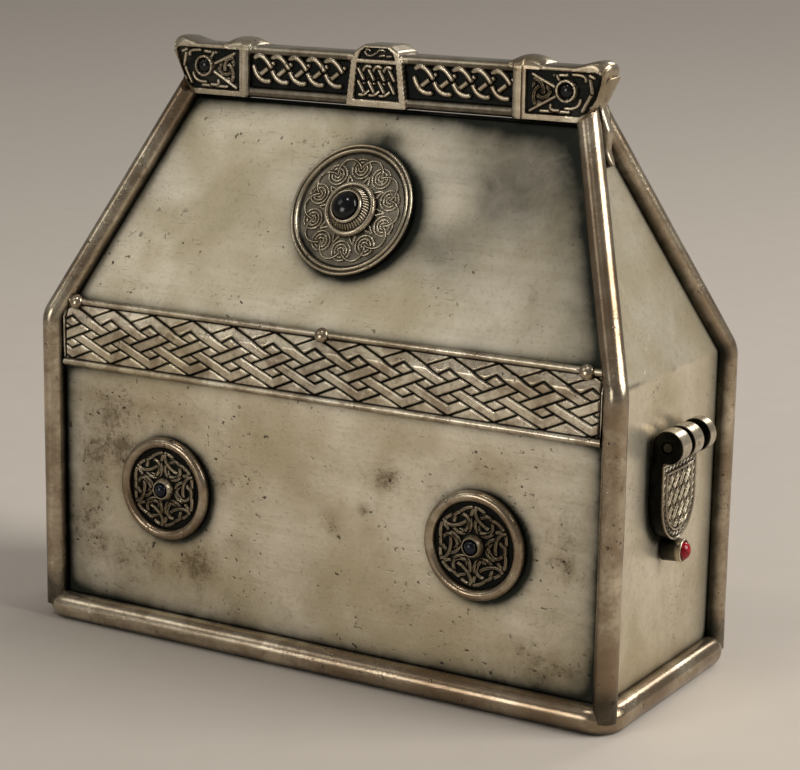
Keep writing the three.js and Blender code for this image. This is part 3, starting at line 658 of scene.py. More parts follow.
def wall_tone(x, z, mounted):
    """Relief value of a wall: dark beside the bindings, a painted shadow under the band and, where it
    has them, a dark ring round each mount, set to the lower right, part patina and part painted shadow."""
    side = 82 - np.abs(x)
    # The narrow dark strip under the band is painted shadow; the strips beside the bindings and along the
    # foot are patina.
    tone = 1 - patina_and_shade(side, 1.8, 0.75) - patina_and_shade(z - 7.2, 2.2, 0.75) - patina_and_shade(72.2 - z, 1.2, 0.6)
    tone = tone - patina_and_shade(side, 24, 0.42) - patina_and_shade(z - 7.2, 9, 0.16)
    tone = tone - 0.1 * smooth(0.1, 0.9, waver(x, z, 46, 1.3))
    for sx in (-1, 1) if mounted else ():
        # Dark ring round each mount, its middle moved right and down: patina with painted shadow.
        away = np.hypot(x - sx * WALL_MED[0] - 1.0, z - WALL_MED[1] + 0.6) - WALL_RING_R[1]
        tone = tone - patina_and_shade(away, 1.5, 0.9)
    return np.clip(tone, 0, 1)


def roof_tone(x, v, mounted):
    """Relief value of a roof: dark under the ridge and along the hips, a painted shadow along the band's
    upper edge, painted shade that grows over the right half and, where it has one, a dark ring round
    the mount, part patina and part painted shadow."""
    slope = v * math.cos(ROOF_LEAN)
    hip = 82 - HIP_X * slope - np.abs(x)
    # The dark line just above the band's upper edge is painted shadow.
    tone = 1 - patina_and_shade(hip, 1.8, 0.7) - patina_and_shade(66 - v, 2.6, 0.85) - patina_and_shade(v - 5.6, 1.4, 0.6)
    # The share that grows to the right is painted shade: the right half darker, more so under the ridge and
    # at the hip.
    right = smooth(5, 40, x)
    tone = tone - patina_and_shade(hip, 9, 0.16 + 0.3 * right) - patina_and_shade(66 - v, 12, 0.3 * right) - 0.2 * right
    # Ring round the mount, its middle moved right and down: patina with painted shadow.
    away = np.hypot(x - 1.2, v - ROOF_MED_V + 0.4) - ROOF_MED_R
    if mounted:
        tone = tone - patina_and_shade(away, 1.5, 0.8) - patina_and_shade(away, 6.0, 0.2 + 0.15 * right)
    smudge = np.exp(-((x - 3) / 7) ** 2 - ((v - 58.5) / 2.6) ** 2) * (0.7 + 0.3 * waver(x, v, 5, 0.2))
    tone = tone + spots(x, v, ROOF_CLOUDS) - (0.6 * smudge if mounted else 0)
    return np.clip(tone - 0.14 * smooth(0.1, 0.9, waver(x, v, 40, 2.6)) - 0.06, 0, 1)


def end_tone(y, z):
    """Relief value of an end: dark beside the bindings and at the crease, painted shade toward the front
    edge, and a painted shadow round the strap mount, falling mostly toward the front edge.
    """
    slope = np.maximum(z - END_CREASE_Z, 0)
    tone = 1 - patina_and_shade(30 - HIP_Y * slope - np.abs(y), 1.3, 0.75) - patina_and_shade(z - 7.4, 1.6, 0.6)
    # The broad darkening from the front edge is painted shade.
    tone = tone - patina_and_shade(y + 30, 8, 0.2) - 0.12 * smooth(90, 120, z)
    tone = tone - patina_and_shade(np.abs(z - END_CREASE_Z), 0.7, 0.5 * smooth(-0.3, 0.5, waver(y, z, 9, 0.4)))
    crack = 0.5 * np.exp(-((z - END_CREASE_Z - 0.1 * np.sin(y)) / 0.3) ** 2)
    crack = crack * smooth(-27, -25, y) * smooth(-17, -20, y)
    drop = np.maximum(MOUNT_SHOULDER_Z - z, 0)
    width = MOUNT_HALF * np.sqrt(np.clip(1 - (drop / 12.5) ** 2, 0, 1))
    away = np.hypot(np.maximum(np.abs(y + 1.5) - width, 0), np.maximum(z - 70, 0))
    below = smooth(33.5, 38, z) * smooth(80, 68, z)
    # Painted shadow of the strap mount: wide on its front side and narrow all round it.
    shadow = 0.55 * np.exp(-away / 2.4) * smooth(6, -6, y) + 0.3 * np.exp(-away / 1.2)
    tone = tone - below * shadow - crack
    return np.clip(tone - 0.16 * smooth(0.1, 0.9, waver(y, z, 34, 0.9)), 0, 1)


def wall_sheet(mounted):
    u, v = np.meshgrid(np.linspace(-82.2, 82.2, 190), np.linspace(6.8, CREASE_Z - 0.3, 92), indexing="ij")
    return place(FRONT_WALL, u, v, 0.06 * waver(u, v, 38, 0.2)), wall_tone(u, v, mounted)


def roof_sheet(mounted):
    """Rows run up the slope, and each reaches from hip to hip."""
    across, v = np.meshgrid(np.linspace(-1, 1, 180), np.linspace(0.0, 66.2, 82), indexing="ij")
    half = 82.2 - HIP_X * v * math.cos(ROOF_LEAN)
    u = across * half
    return place(FRONT_ROOF, u, v, 0.07 * waver(u, v, 42, 1.9)), roof_tone(u, v, mounted)


def end_sheet(_):
    """Rows run up the wall and on up the leaning part, and each reaches from binding to binding."""
    rise = np.concatenate([np.linspace(6.8, END_CREASE_Z, 70), np.linspace(END_CREASE_Z, 145.0, 60)[1:]])
    across, z = np.meshgrid(np.linspace(-1, 1, 60), rise, indexing="ij")
    slope = np.maximum(z - END_CREASE_Z, 0)
    y = across * np.where(slope > 0, np.maximum(30.4 - HIP_Y * slope, 1.2), 30.4)
    x = END_X - HIP_X * slope
    bulge = 0.06 * waver(y, z, 36, 2.2)
    points = np.stack([x + bulge * np.where(slope > 0, math.cos(END_LEAN), 1), y, z], -1)
    return points, end_tone(y, z)


WALL_STAINS = ((-68, 54, 11, 13, 0.9), (-60, 22, 16, 9, 0.6), (-38, 22, 8, 7, 0.7), (20, 55, 5, 4, 1.0),
               (4, 40, 4, 4, 0.5), (72, 45, 9, 12, 0.6), (66, 14, 14, 6, 0.7), (-75, 30, 6, 10, 0.6),
               (-20, 12, 14, 5, 0.4), (14, 46, 2, 2, 0.8), (-30, 46, 6, 9, 0.6), (-24, 30, 7, 4, 0.5),
               (30, 24, 9, 5, 0.4), (-46, 62, 14, 4, 0.5), (48, 62, 12, 5, 0.4))
ROOF_STAINS = ((-58, 92, 12, 5, 0.25), (58, 100, 10, 8, 0.35), (30, 96, 9, 3, 0.3))


def stains(points):
    """Grainy tarnish of the front: patches on the wall, fewer on the roof, little on the ends."""
    roof = points[:, 2] > CREASE_Z
    front = points[:, 1] < 0
    on_end = np.abs(points[:, 0]) > END_X - 0.6 - HIP_X * np.maximum(points[:, 2] - END_CREASE_Z, 0)
    wall = np.where(front, 0.02 + spots(points[:, 0], points[:, 2], WALL_STAINS), 0.05)
    upper = np.where(front, spots(points[:, 0], points[:, 2], ROOF_STAINS) - 0.15, -0.1)
    return np.where(on_end, -0.25, np.where(roof, upper, wall))


def plate(name, points, tone, *nodes):
    """A single skin with its thickness behind it."""
    piece = make(name, [sheet(points, tone)], PLATE_METAL, closed=False, stain=stains)
    thick = piece.modifiers.new("thickness", "SOLIDIFY")
    thick.thickness = 1.0 * MM
    thick.offset = -1.0
    return dress(piece, "plate_silver", *nodes)


def facing_out(points, outward):
    """Whether the grid's faces look the way of outward."""
    a = points[1, 0] - points[0, 0]
    b = points[0, 1] - points[0, 0]
    return bool(np.dot(np.cross(a, b), outward) > 0)


def build_plates():
    kinds = (("wall", wall_sheet, -Y), ("roof", roof_sheet, -Y), ("end", end_sheet, X))
    for name, sheet_of, outward in kinds:
        sides = ("right", "left") if name == "end" else ("front", "back")
        label = "end_plate" if name == "end" else f"{name}_plate"
        for side, seen in zip(sides, (True, False)):
            points, tone = sheet_of(seen)
            if not facing_out(points, outward):
                points, tone = points[::-1], tone[::-1]
            placed = points if seen else half_turn(points)
            plate(f"{side}_{name}_skin", placed, tone, f"{side}_{label}")


def build_bindings():
    for depth, sy in (("front", -1), ("back", 1)):
        for side, sx in (("left", -1), ("right", 1)):
            tube = make(f"binding_{depth}_{side}", [corner_tube(sx, sy)], WORN_METAL, sharp=60)
            dress(tube, "rubbed_bronze", f"corner_binding_{depth}_{side}")
    dress(make("foot_binding", [base_moulding()], WORN_METAL, sharp=60), "rubbed_bronze", "base_binding")


# Band over the eave

def on_bend(x, v, n):
    """Points over the eave: v down the wall or up the roof, n out; the way out turns smoothly."""
    turn = ROOF_LEAN * smooth(-0.9, 0.9, v)
    y = WALL_Y + np.maximum(v, 0) * math.sin(ROOF_LEAN)
    z = CREASE_Z + np.minimum(v, 0) + np.maximum(v, 0) * math.cos(ROOF_LEAN)
    x, y, z, n, turn = np.broadcast_arrays(x, y, z, n, turn)
    return np.stack([x, y - n * np.cos(turn), z + n * np.sin(turn)], -1)


def plait_edges():
    """Edges of one unit of the flat plait of four straps, as segments. A falling strap passes over
    near both edges of the band and a rising one over at mid height; each stretch of strap ends
    where the strap above it begins."""
    low, high = BAND_FIELD
    run = PITCH / 2
    tall = STRAP_W / math.cos(math.atan2((high - low - STRAP_W) / 4, run))
    rise = (high - low - tall) / 4
    slope = math.atan2(rise, run)
    length = math.hypot(rise, run)
    half = tall / (4 * math.sin(slope))
    reach = length - half
    middle = (low + high) / 2
    rising = np.array([[-reach, half], [reach, half], [reach, -half], [-reach, -half]])
    turning = np.array([[-reach, half], [-half, half], [-half, length + reach], [half, length + reach],
                        [half, -half], [-reach, -half]])

    def laid(pairs, centre):
        up, down = pairs[:, 0], pairs[:, 1]
        return np.stack([(up + down) * math.cos(slope), centre + (up - down) * math.sin(slope)], 1)

    upper = laid(turning, middle + 2 * rise)
    lower = np.stack([-upper[:, 0], 2 * middle - upper[:, 1]], 1)
    outlines = (laid(rising, middle), upper, lower)
    return np.concatenate([np.concatenate([o, np.roll(o, -1, 0)], 1) for o in outlines])


def plait_distance(x, v):
    """Distance to the nearest strap edge; the pattern repeats along x every pitch."""
    local = (x + PITCH / 2) % PITCH - PITCH / 2
    nearest = np.full(np.broadcast(x, v).shape, 9.0)
    for ends in plait_edges():
        for shift in (-PITCH, 0.0, PITCH):
            distance, _ = nearest_on_segment(local - shift, v, ends[:2], ends[2:])
            nearest = np.minimum(nearest, distance)
    return nearest


def half_round(v0, v1, height, steps):
    """Profile of a moulding from v0 to v1: distance along the face and height above it."""
    a = np.linspace(math.pi, 0, steps)
    return (v0 + v1) / 2 + (v1 - v0) / 2 * np.cos(a), GAP + 0.25 + (height - 0.25) * np.sin(a)


def band_surface(patterned):
    x = np.linspace(-BAND_HALF, BAND_HALF, 760 if patterned else 160)
    low, high = BAND_FIELD
    v_low, n_low = half_round(BAND_BORDER[0], low, BAND_BORDER_H[0], 12)
    v_high, n_high = half_round(high, BAND_BORDER[1], BAND_BORDER_H[1], 12)
    v_field = np.linspace(low + 0.05, high - 0.05, 84 if patterned else 20)
    v = np.concatenate([[BAND_BORDER[0]], v_low, v_field, v_high, [BAND_BORDER[1], 2.0, -6.0]])
    n = np.concatenate([[GAP], n_low, np.full(len(v_field), BAND_FACE), n_high, [GAP, GAP, GAP]])
    field = np.zeros(len(v), bool)
    field[1 + len(v_low):1 + len(v_low) + len(v_field)] = True
    gx, gv = np.meshgrid(x, v, indexing="ij")
    height = np.broadcast_to(n, gx.shape).copy()
    tone = np.ones_like(gx)
    if patterned:
        wx = gx + 0.22 * waver(gx, gv, 11, 0.3)
        wv = gv + 0.14 * waver(gx, gv, 13, 1.1)
        from_edge = np.minimum(gv - low, high - gv)
        line = np.where(np.abs(gx) < BAND_FIELD_HALF, plait_distance(wx, wv), 9.0)
        line = np.minimum(line, np.abs(np.abs(gx) - BAND_FIELD_HALF))
        groove = smooth(0.42, 0.08, line) * field
        height = height - 0.5 * groove
        tone = tone - 0.97 * smooth(0.36, 0.12, line) * field
        tone = tone - 0.5 * smooth(0.35, 0.0, from_edge) * field
        height = height + 0.05 * waver(gx, gv, 7, 2.0) * field
    seam = patina_and_shade(np.minimum(np.abs(gv - low), np.abs(gv - high)), 0.18, 0.8)
    foot = patina_and_shade(n - GAP, 0.35, 0.7)
    tone = np.clip(tone - seam - foot - 0.25 * smooth(0.0, 0.9, waver(gx, gv, 30, 0.5)), 0, 1)
    height = height + 0.05 * waver(gx, gv * 0.2, 26, 0.9) * (height > GAP + 0.1)
    return sheet(on_bend(gx, gv, height), tone, wrap_v=True, ends=True)


def build_band():
    for side, patterned in (("front", True), ("back", False)):
        points, tone, wrap_u, wrap_v = band_surface(patterned)
        seats = FRONT_ROOF
        if side == "back":
            points = half_turn(points)
            seats = tuple(half_turn(part) for part in FRONT_ROOF)
        piece = make(f"{side}_eave_band", [(points, tone, wrap_u, wrap_v)], BAND_METAL)
        dress(piece, "cast_silver", f"{side}_band")
        for name, x in RIVETS.items():
            profile = dome_profile(RIVET_R, 1.4, RIVET_FOOT + 0.35, RIVET_FOOT + 1.6)
            # Tone: painted shade at the rivet's foot, full on its dome.
            tone = np.interp(profile[:, 1], (1.4, 2.4), (0.2, 1.0))
            head = turned(moved(seats, x, RIVET_V), profile, 32, tone)
            rivet = make(f"{side}_rivet_{name}", [head], WORN_METAL)
            dress(rivet, "rubbed_bronze", f"{side}_band_rivet_{name}")


# Wall medallions

def ring_profile():
    """Half-round moulding, from its inner foot over its crown to its outer foot."""
    inner, outer = WALL_RING_R
    a = np.linspace(math.pi, 0, 15)
    radius = (inner + outer) / 2 + (outer - inner) / 2 * np.cos(a)
    arc = np.stack([radius, 1.1 + (WALL_RING_H - 1.1) * np.sin(a)], 1)
    return np.concatenate([[[inner, GAP]], arc, [[outer, GAP]]])


def knot_relief(angle, radius, height):
    """Six knots in a ring, each a circle laced with a stretched three-pointed knot, on a sunk ground."""
    sector = math.pi / 3
    fold = (angle + sector / 2) % sector - sector / 2
    strands = three_point_knot(KNOT_CENTRE, KNOT_STRETCH)
    strands.append(ellipse((KNOT_ORBIT, 0), (KNOT_RING_R, KNOT_RING_R), waves=3))
    distance, lift = topmost(radius * np.cos(fold), radius * np.sin(fold), strands, KNOT_W)
    ground = (radius > COLLAR_FOOT_R) & (radius < WALL_DISC_R - 0.04) & (height > GAP)
    raised = cord(distance, KNOT_W, 0.4) * ground
    level = height + raised * (0.85 + 0.12 * lift)
    return level, np.where(ground, raised ** 0.8, smooth(0.9, 2.4, height) * smooth(2.0, 2.3, radius))


def wall_disc(frame_of):
    ground = WALL_DISC_FLOOR
    collar = [(0, 2.2), (2.05, 2.2), (2.08, 3.1), (2.2, 3.3), (2.4, 3.3), (2.65, 2.95), (2.95, 2.2),
              (COLLAR_FOOT_R - 0.02, ground)]
    field = [(r, ground) for r in np.linspace(COLLAR_FOOT_R + 0.02, WALL_DISC_R, 80)]
    return turned(frame_of, collar + field + [(WALL_DISC_R, GAP), (0, GAP)], 480, relief=knot_relief)


def build_wall_medallions():
    for side, sx in (("left", -1), ("right", 1)):
        seat = moved(FRONT_WALL, sx * WALL_MED[0], WALL_MED[1])
        profile = ring_profile()
        # Tone: painted shade at the ring's foot, rising to full at its crown.
        tone_with_painted_shade = np.interp(profile[:, 1], (0.4, 1.9), (0.0, 1.0))
        moulding = turned(seat, profile, 128, tone_with_painted_shade, hollow=True)
        ring = make(f"wall_ring_{side}", [moulding], WORN_METAL, sharp=50)
        dress(ring, "rubbed_bronze", f"wall_medallion_ring_{side}")
        disc = make(f"wall_disc_{side}", [wall_disc(seat)], CAST_METAL, sharp=50)
        dress(disc, "cast_silver", f"wall_medallion_disc_{side}")
        stone(f"wall_stone_{side}", seat, 1.8, 2.4, 2.9, 4.3, BLUE, "blue_stone",
              f"wall_medallion_stone_{side}")


# Roof medallion

def polar(radius, degrees):
    return radius * math.cos(math.radians(degrees)), radius * math.sin(math.radians(degrees))


def roundel_lines(sector):
    """Lines of one roundel and of the links to its neighbours: three circles round each other, two
    bars that cross at the middle, the bows that pass from middle to middle, and short tails."""
    centre = (ROUNDEL_ORBIT, 0.0)
    lines = [ellipse(centre, (r, r), steps=24) for r in (2.7, 1.75, 0.85)]
    for side in (1, -1):
        lines.append(straight((centre[0] - 0.9, -1.4 * side), (centre[0] + 0.7, 1.1 * side)))
        lines.append(straight(polar(9.5, 17 * side), polar(7.6, 12 * side)))
    t = np.linspace(0, 1, 13)
    reach = ROUNDEL_ORBIT + 2.95 * np.clip(np.sin(math.pi * t), 0, 1) ** 0.75
    for first in (0, -1):
        turn = np.radians((t + first) * sector)
        bow = np.stack([reach * np.cos(turn), reach * np.sin(turn)], 1)
        lines.append((bow, np.full(len(t), 0.8)))
    return lines


def roundel_relief(angle, radius, height):
    """Ten linked roundels of thin lines on a dark, dished ground."""
    sector = 2 * math.pi / ROUNDELS
    fold = (angle - math.pi / 2 + sector / 2) % sector - sector / 2
    lines = roundel_lines(math.degrees(sector))
    distance, _ = topmost(radius * np.cos(fold), radius * np.sin(fold), lines, ROUNDEL_W)
    ground = (radius > 7.0) & (radius < 15.1) & (height > GAP)
    raised = cord(distance, ROUNDEL_W) * ground
    dish = 0.3 + 0.1 * smooth(-0.2, 0.6, waver(radius * np.cos(angle), radius * np.sin(angle), 9, 0.3))
    tone = np.where(ground, dish + (1 - dish) * raised, 0.15 + 0.85 * smooth(1.25, 2.0, height))
    return height + 0.55 * raised, tone


def roof_disc(frame_of):
    field = [(r, 1.0) for r in np.linspace(7.0, 15.1, 84)]
    rims = cut_corners([(15.2, 1.0), (15.5, 1.1), (15.85, 1.9), (16.25, 2.25), (16.6, 1.9), (16.75, 1.4),
                        (17.0, 1.4), (17.15, 1.9), (17.5, 2.15), (17.85, 1.8), (ROOF_MED_R, 1.1),
                        (17.7, GAP)])
    profile = [(0, 1.0), (6.9, 1.0)] + field + [tuple(p) for p in rims] + [(0, GAP)]
    return turned(frame_of, profile, 540, relief=roundel_relief)


def corded(angle, radius, height):
    """Slanting strokes round the boss's middle ring; grooves and foot stay dark."""
    ring = smooth(4.7, 4.9, radius) * smooth(6.0, 5.75, radius) * (height > 2.3)
    stroke = 0.5 + 0.5 * np.cos(44 * angle + 2.6 * radius)
    rim = smooth(6.0, 6.35, radius) * smooth(1.5, 2.1, height)
    bezel = smooth(4.1, 4.35, height) * smooth(3.8, 4.0, radius)
    return height - 0.34 * ring * (1 - stroke), np.clip(rim + bezel + ring * (0.12 + 0.85 * stroke), 0, 1)


def build_roof_medallion():
    seat = moved(FRONT_ROOF, 0, ROOF_MED_V)
    disc = make("roof_disc", [roof_disc(seat)], DARK_METAL, sharp=50)
    dress(disc, "dark_bronze", "roof_medallion")
    rim = [(0, 1.35), (7.0, 1.35), (7.45, 1.7), (7.45, 2.3), (7.1, 2.85), (6.5, 2.95), (6.15, 2.5),
           (6.0, 2.4)]
    slope = [(r, 2.5 + (5.9 - r) * 1.25) for r in np.linspace(5.9, 4.7, 12)]
    bezel = [(4.62, 3.95), (4.6, 4.4), (4.3, 4.8), (4.0, 4.8), (3.8, 4.6), (3.8, 4.2), (0, 4.2)]
    profile = np.concatenate([cut_corners(rim), slope, cut_corners(bezel)])
    boss = make("roof_boss", [turned(seat, profile, 352, relief=corded)], CAST_METAL, sharp=50)
    dress(boss, "cast_silver", "roof_medallion_boss")
    stone("roof_stone", seat, 3.6, 4.4, 4.8, 6.7, JET, "black_stone", "roof_medallion_stone")


# Ridge pole: closed sections from one snout to the other

def soft_line(x, xs, ys, blur=0.5):
    """A broken line with its corners rounded, as the mean of seven shifted readings."""
    return sum(np.interp(x + shift, xs, ys) for shift in np.linspace(-blur, blur, 7)) / 7


def inside(u, low, high, soft=0.12):
    """1 between low and high and 0 outside, with a soft edge."""
    return smooth(-soft, soft, u - low) * smooth(-soft, soft, high - u)


def under_at_start(strand):
    """The same strand, which starts under its neighbour and then rises over it."""
    points, _ = strand
    return points, np.interp(np.linspace(0, 1, len(points)), (0, 0.2, 0.4), (-0.8, 0.2, 1.0))


def panel_strands():
    """Running plait of the long panels: an arch above, a rising bar and a hanging arch, five times,
    and a bent strand that closes the outer end."""
    units = 5
    step = (PANEL_X[1] - PANEL_X[0]) / units
    strands = []
    for start in (-PANEL_X[1], PANEL_X[0]):
        for k in range(units):
            x = start + k * step + 0.5
            arch = curve_through((x, 156.5), (x + 2.4, 156.7), (x + 5.0, 154.2))
            hanging = curve_through((x - 0.5, 153.9), (x + 1.6, 150.9), (x + 4.5, 150.3))
            bar = straight((x + 1.7, 152.0), (x + 5.7, 155.0), 0.5)
            strands += [under_at_start(arch), under_at_start(hanging), bar]
    return strands


def block_strands():
    """The central block's plait: falling strokes in two rows, rising ones between them, and bent
    strokes that close it above and below."""
    strands = []
    for k, x in enumerate((-4.7, -1.6, 1.5, 4.6)):
        for z in (154.1, 150.9):
            strands.append(straight((x - 0.75, z + 1.25), (x + 0.75, z - 1.25), 1.0))
        if k < 3:
            rising = straight((x + 0.65, 151.7), (x + 2.5, 153.3), -1.0)
            above = curve_through((x + 0.5, 154.8), (x + 1.5, 156.1), (x + 2.9, 156.0))
            below = curve_through((x + 2.5, 149.9), (x + 1.2, 148.9), (x - 0.4, 148.7))
            strands += [rising, under_at_start(above), under_at_start(below)]
    return strands


def gable_strands():
    """A lying scroll of two bends with a curl, and two short bars."""
    return [curve_through((-3.6, 159.9), (-2.3, 158.9), (-0.2, 159.7)),
            curve_through((-0.2, 159.7), (1.0, 160.5), (2.4, 160.3)),
            curve_through((-3.6, 159.9), (-2.9, 160.6), (-2.0, 160.2)),
            straight((0.9, 159.0), (2.3, 159.1)), straight((3.0, 159.0), (4.4, 159.0))]


def head_bars():
    """Bars of a right head: the two that meet behind the eye, the curls round it, and the jaw."""
    meeting = [straight((45.2, 157.0), (51.9, 153.9)), straight((44.6, 147.9), (51.9, 151.9))]
    curls = [curve_through((52.0, 156.9), (53.0, 155.6), (54.2, 155.9)),
             straight((51.2, 157.0), (54.8, 157.2)),
             curve_through((50.4, 149.6), (50.7, 148.5), (52.6, 148.4)),
             straight((47.6, 148.0), (55.5, 148.1)),
             curve_through((54.5, 149.0), (57.4, 149.4), (58.6, 151.2)),
             curve_through((56.4, 157.4), (59.3, 157.1), (59.9, 156.0))]
    jaw = [straight((60.9, 157.4), (62.2, 156.9)), straight((60.9, 157.4), (61.7, 153.2)),
           straight((61.7, 153.2), (59.2, 148.6)),
           curve_through((64.9, 157.4), (64.2, 152.6), (61.4, 149.4))]
    return meeting + curls + jaw


def pole_section(z):
    """Half depth of the plain pole: a rail above and below a sunk panel."""
    rails = (3.1, 4.2, 4.5, 4.3, PANEL_Y, PANEL_Y, 4.3, 4.5, 4.5)
    return soft_line(z, (145.6, 146.1, 147.2, 148.1, 148.6, 157.0, 157.5, 158.3, 162), rails, 0.15)


def ridge_depth(x, z):
    """Half depth at a place on the side, and how far the place lies in a sunk field."""
    ax = np.abs(x)
    pole = pole_section(z)
    sunk = smooth(4.1, 3.5, pole)
    edge = soft_line(z, (145.7, 157.6, 160.2, 161.9), (9.2, 7.7, 6.6, 3.9), 0.2)
    block = smooth(0.15, -0.15, ax - edge)
    panel = inside(z, 147.6, 156.9) * smooth(0.12, -0.12, ax - (6.9 - (z - 147.6) / 9.3))
    gable_edge = soft_line(z, (158.1, 159.9, 161.0), (5.6, 4.9, 3.2))
    gable = inside(z, 158.1, 161.0) * smooth(0.12, -0.12, ax - gable_edge)
    block_sunk = np.maximum(panel, gable)
    head = smooth(42.4, 42.6, ax)
    jaw = soft_line(z, (147.2, 148.2, 151.6, 155.2, 157.6, 158.2),
                    (57.4, 59.6, 61.6, 62.9, 63.3, 61.4), 0.3)
    pocket = inside(z, 147.2, 158.1) * inside(ax, 43.4, jaw + 1.0)
    collar = inside(ax, 39.9, 42.5, 0.2)
    depth = pole * (1 - head) + head * (HEAD_Y - 0.8 * pocket)
    depth = depth * (1 - collar) + 5.0 * collar
    depth = depth * (1 - block) + block * (BLOCK_Y - 0.9 * block_sunk)
    sunk = (sunk * (1 - head) + head * pocket) * (1 - collar)
    return depth, sunk * (1 - block) + block * block_sunk


def ridge_relief(x, z):
    """The front face: half depth and tone, with the strands raised out of the sunk fields."""
    depth, sunk = ridge_depth(x, z)
    rail = smooth(42, 40, np.abs(x)) * smooth(8.6, 9.4, np.abs(x))
    tone = (1 - 0.96 * sunk) * (1 - 0.6 * rail - 0.12 * smooth(0.0, 0.8, waver(x, z * 0.3, 13, 0.8)))
    heads = head_bars() + mirrored(head_bars())
    knots = three_point_knot((48.6, 152.8), (-2.9, 3.5))
    knots = [(points - (1.3, 0), lifts) for points, lifts in knots]
    groups = ((panel_strands(), 1.4, 0.0, PANEL_Y, 0.95), (block_strands(), 0.95, 0.0, BLOCK_Y - 0.9, 0.8),
              (gable_strands(), 0.6, 0.0, BLOCK_Y - 0.9, 0.7), (heads, 0.9, 0.0, HEAD_Y - 0.8, 0.75),
              (knots + mirrored(knots), 0.95, 0.5, HEAD_Y - 0.8, 0.7))
    for strands, width, groove, floor, rise in groups:
        distance, lift = topmost(x, z, strands, width)
        raised = cord(distance, width, groove)
        depth = np.maximum(depth, floor + raised * (rise + 0.1 * lift) - 2.0 * (raised == 0))
        tone = np.maximum(tone, raised ** 1.4)
    around = np.hypot(np.abs(x) - EYE[0], z - EYE[1])
    collar = inside(around, EYE_R, EYE_R + 0.85, 0.15)
    bowl = smooth(EYE_R + 1.2, EYE_R + 0.9, around) * (1 - collar)
    depth = np.where(bowl > 0.5, HEAD_Y - 0.85, depth)
    tone = np.where(around < EYE_R + 1.3, np.maximum(collar, 0.03), tone)
    return np.maximum(depth, collar * (HEAD_Y + 0.6)), tone


def eye_rim(x, z):
    """Raised rim round the eye on the plain back."""
    return 0.75 * inside(np.hypot(np.abs(x) - EYE[0], z - EYE[1]), EYE_R, EYE_R + 0.8, 0.15)


def ridge_pole():
    """Closed sections along the pole: up the front, over the crown, down the back, and under. Toward
    the ends the sections lean with the snout and narrow to a rounded edge."""
    nose = 64.5
    round_nose = 61.0 + (nose - 61.0) * np.sin(np.linspace(0, math.pi / 2, 30))[1:]
    half = np.concatenate([np.linspace(0, 61.0, 380)[1:], round_nose])
    p = np.concatenate([-half[::-1], [0.0], half])
    ap = np.abs(p)
    low = soft_line(ap, (60, 61.5, 63.4, 64.2, 64.5), (145.7, 145.9, 146.6, 147.6, 149.0), 0.3)
    high = soft_line(ap, (55, 56.5, 58.2, 60.0, 61.6, 62.8, 63.7, 64.5),
                     (159.6, 160.3, 161.1, 161.0, 160.2, 158.4, 155.6, 151.8))
    hump = 157.5 + 4.1 * np.sqrt(np.clip(1 - ((ap - HUMP_X) / 6.2) ** 2, 0, 1))
    block = soft_line(ap, (3.9, 6.6, 7.7), (161.9, 160.2, 157.0), 0.4)
    is_hump = smooth(0.0, 1.2, hump - high)
    is_block = smooth(-0.1, 0.4, block - high) * (ap < 9)
    high = np.maximum(np.maximum(high, hump), np.where(ap < 9, block, 0))
    crown = 1.25 + is_hump * (high - 158.2 - 1.25) - 0.45 * is_block + 1.5 * smooth(57, 61, ap)
    bend = 0.5 + 0.4 * is_hump + 0.35 * smooth(57, 61, ap)
    narrow = np.sqrt(np.clip(1 - (np.maximum(ap - 60.6, 0) / (nose - 60.6)) ** 2.2, 0, 1))[:, None]
    lean = (0.5 * smooth(50, 60, ap) * np.sign(p))[:, None]
    shoulder = high - crown

    def at(z):
        return p[:, None] + lean * (z - 152)

    up = np.linspace(0, 1, 68)
    z_front = low[:, None] + (shoulder - low)[:, None] * up
    x_front = at(z_front)
    front, tone = ridge_relief(x_front, z_front)
    z_back = low[:, None] + (shoulder - low)[:, None] * np.linspace(1, 0, 26)
    back, back_sunk = ridge_depth(at(z_back), z_back)
    back = back + eye_rim(at(z_back), z_back)
    over = np.linspace(0, math.pi, 20)[1:-1]
    wide = np.sign(np.cos(over)) * np.abs(np.cos(over)) ** bend[:, None]
    z_top = shoulder[:, None] + crown[:, None] * np.sin(over) ** bend[:, None]
    y_top = -wide * np.where(np.cos(over) > 0, front[:, -1:], back[:, :1])
    under = np.linspace(1, -1, 8)[1:-1]
    y_low = under * np.where(under > 0, back[:, -1:], front[:, :1])
    z_low = np.broadcast_to(low[:, None], y_low.shape)
    x_all = np.concatenate([x_front, at(z_top), at(z_back), at(z_low)], 1)
    y_all = np.concatenate([-front, y_top, back, y_low], 1) * narrow
    z_all = np.concatenate([z_front, z_top, z_back, z_low], 1)
    bright_top = np.maximum.reduce([is_hump, is_block, smooth(58, 61, ap)])[:, None]
    crown_tone = 0.66 + 0.34 * bright_top - 0.2 * smooth(0.1, 0.8, waver(at(z_top), y_top, 24, 0.4))
    # The underside is painted dark, and the sides darker toward their foot, as painted shade.
    tones = np.concatenate([tone, crown_tone, 1 - 0.7 * back_sunk, np.full(y_low.shape, 0.1)], 1)
    tones = np.clip(tones - 0.25 * smooth(146.6, 145.8, z_all), 0, 1)
    return sheet(np.stack([x_all, y_all, z_all], -1), tones, wrap_v=True, ends=True)


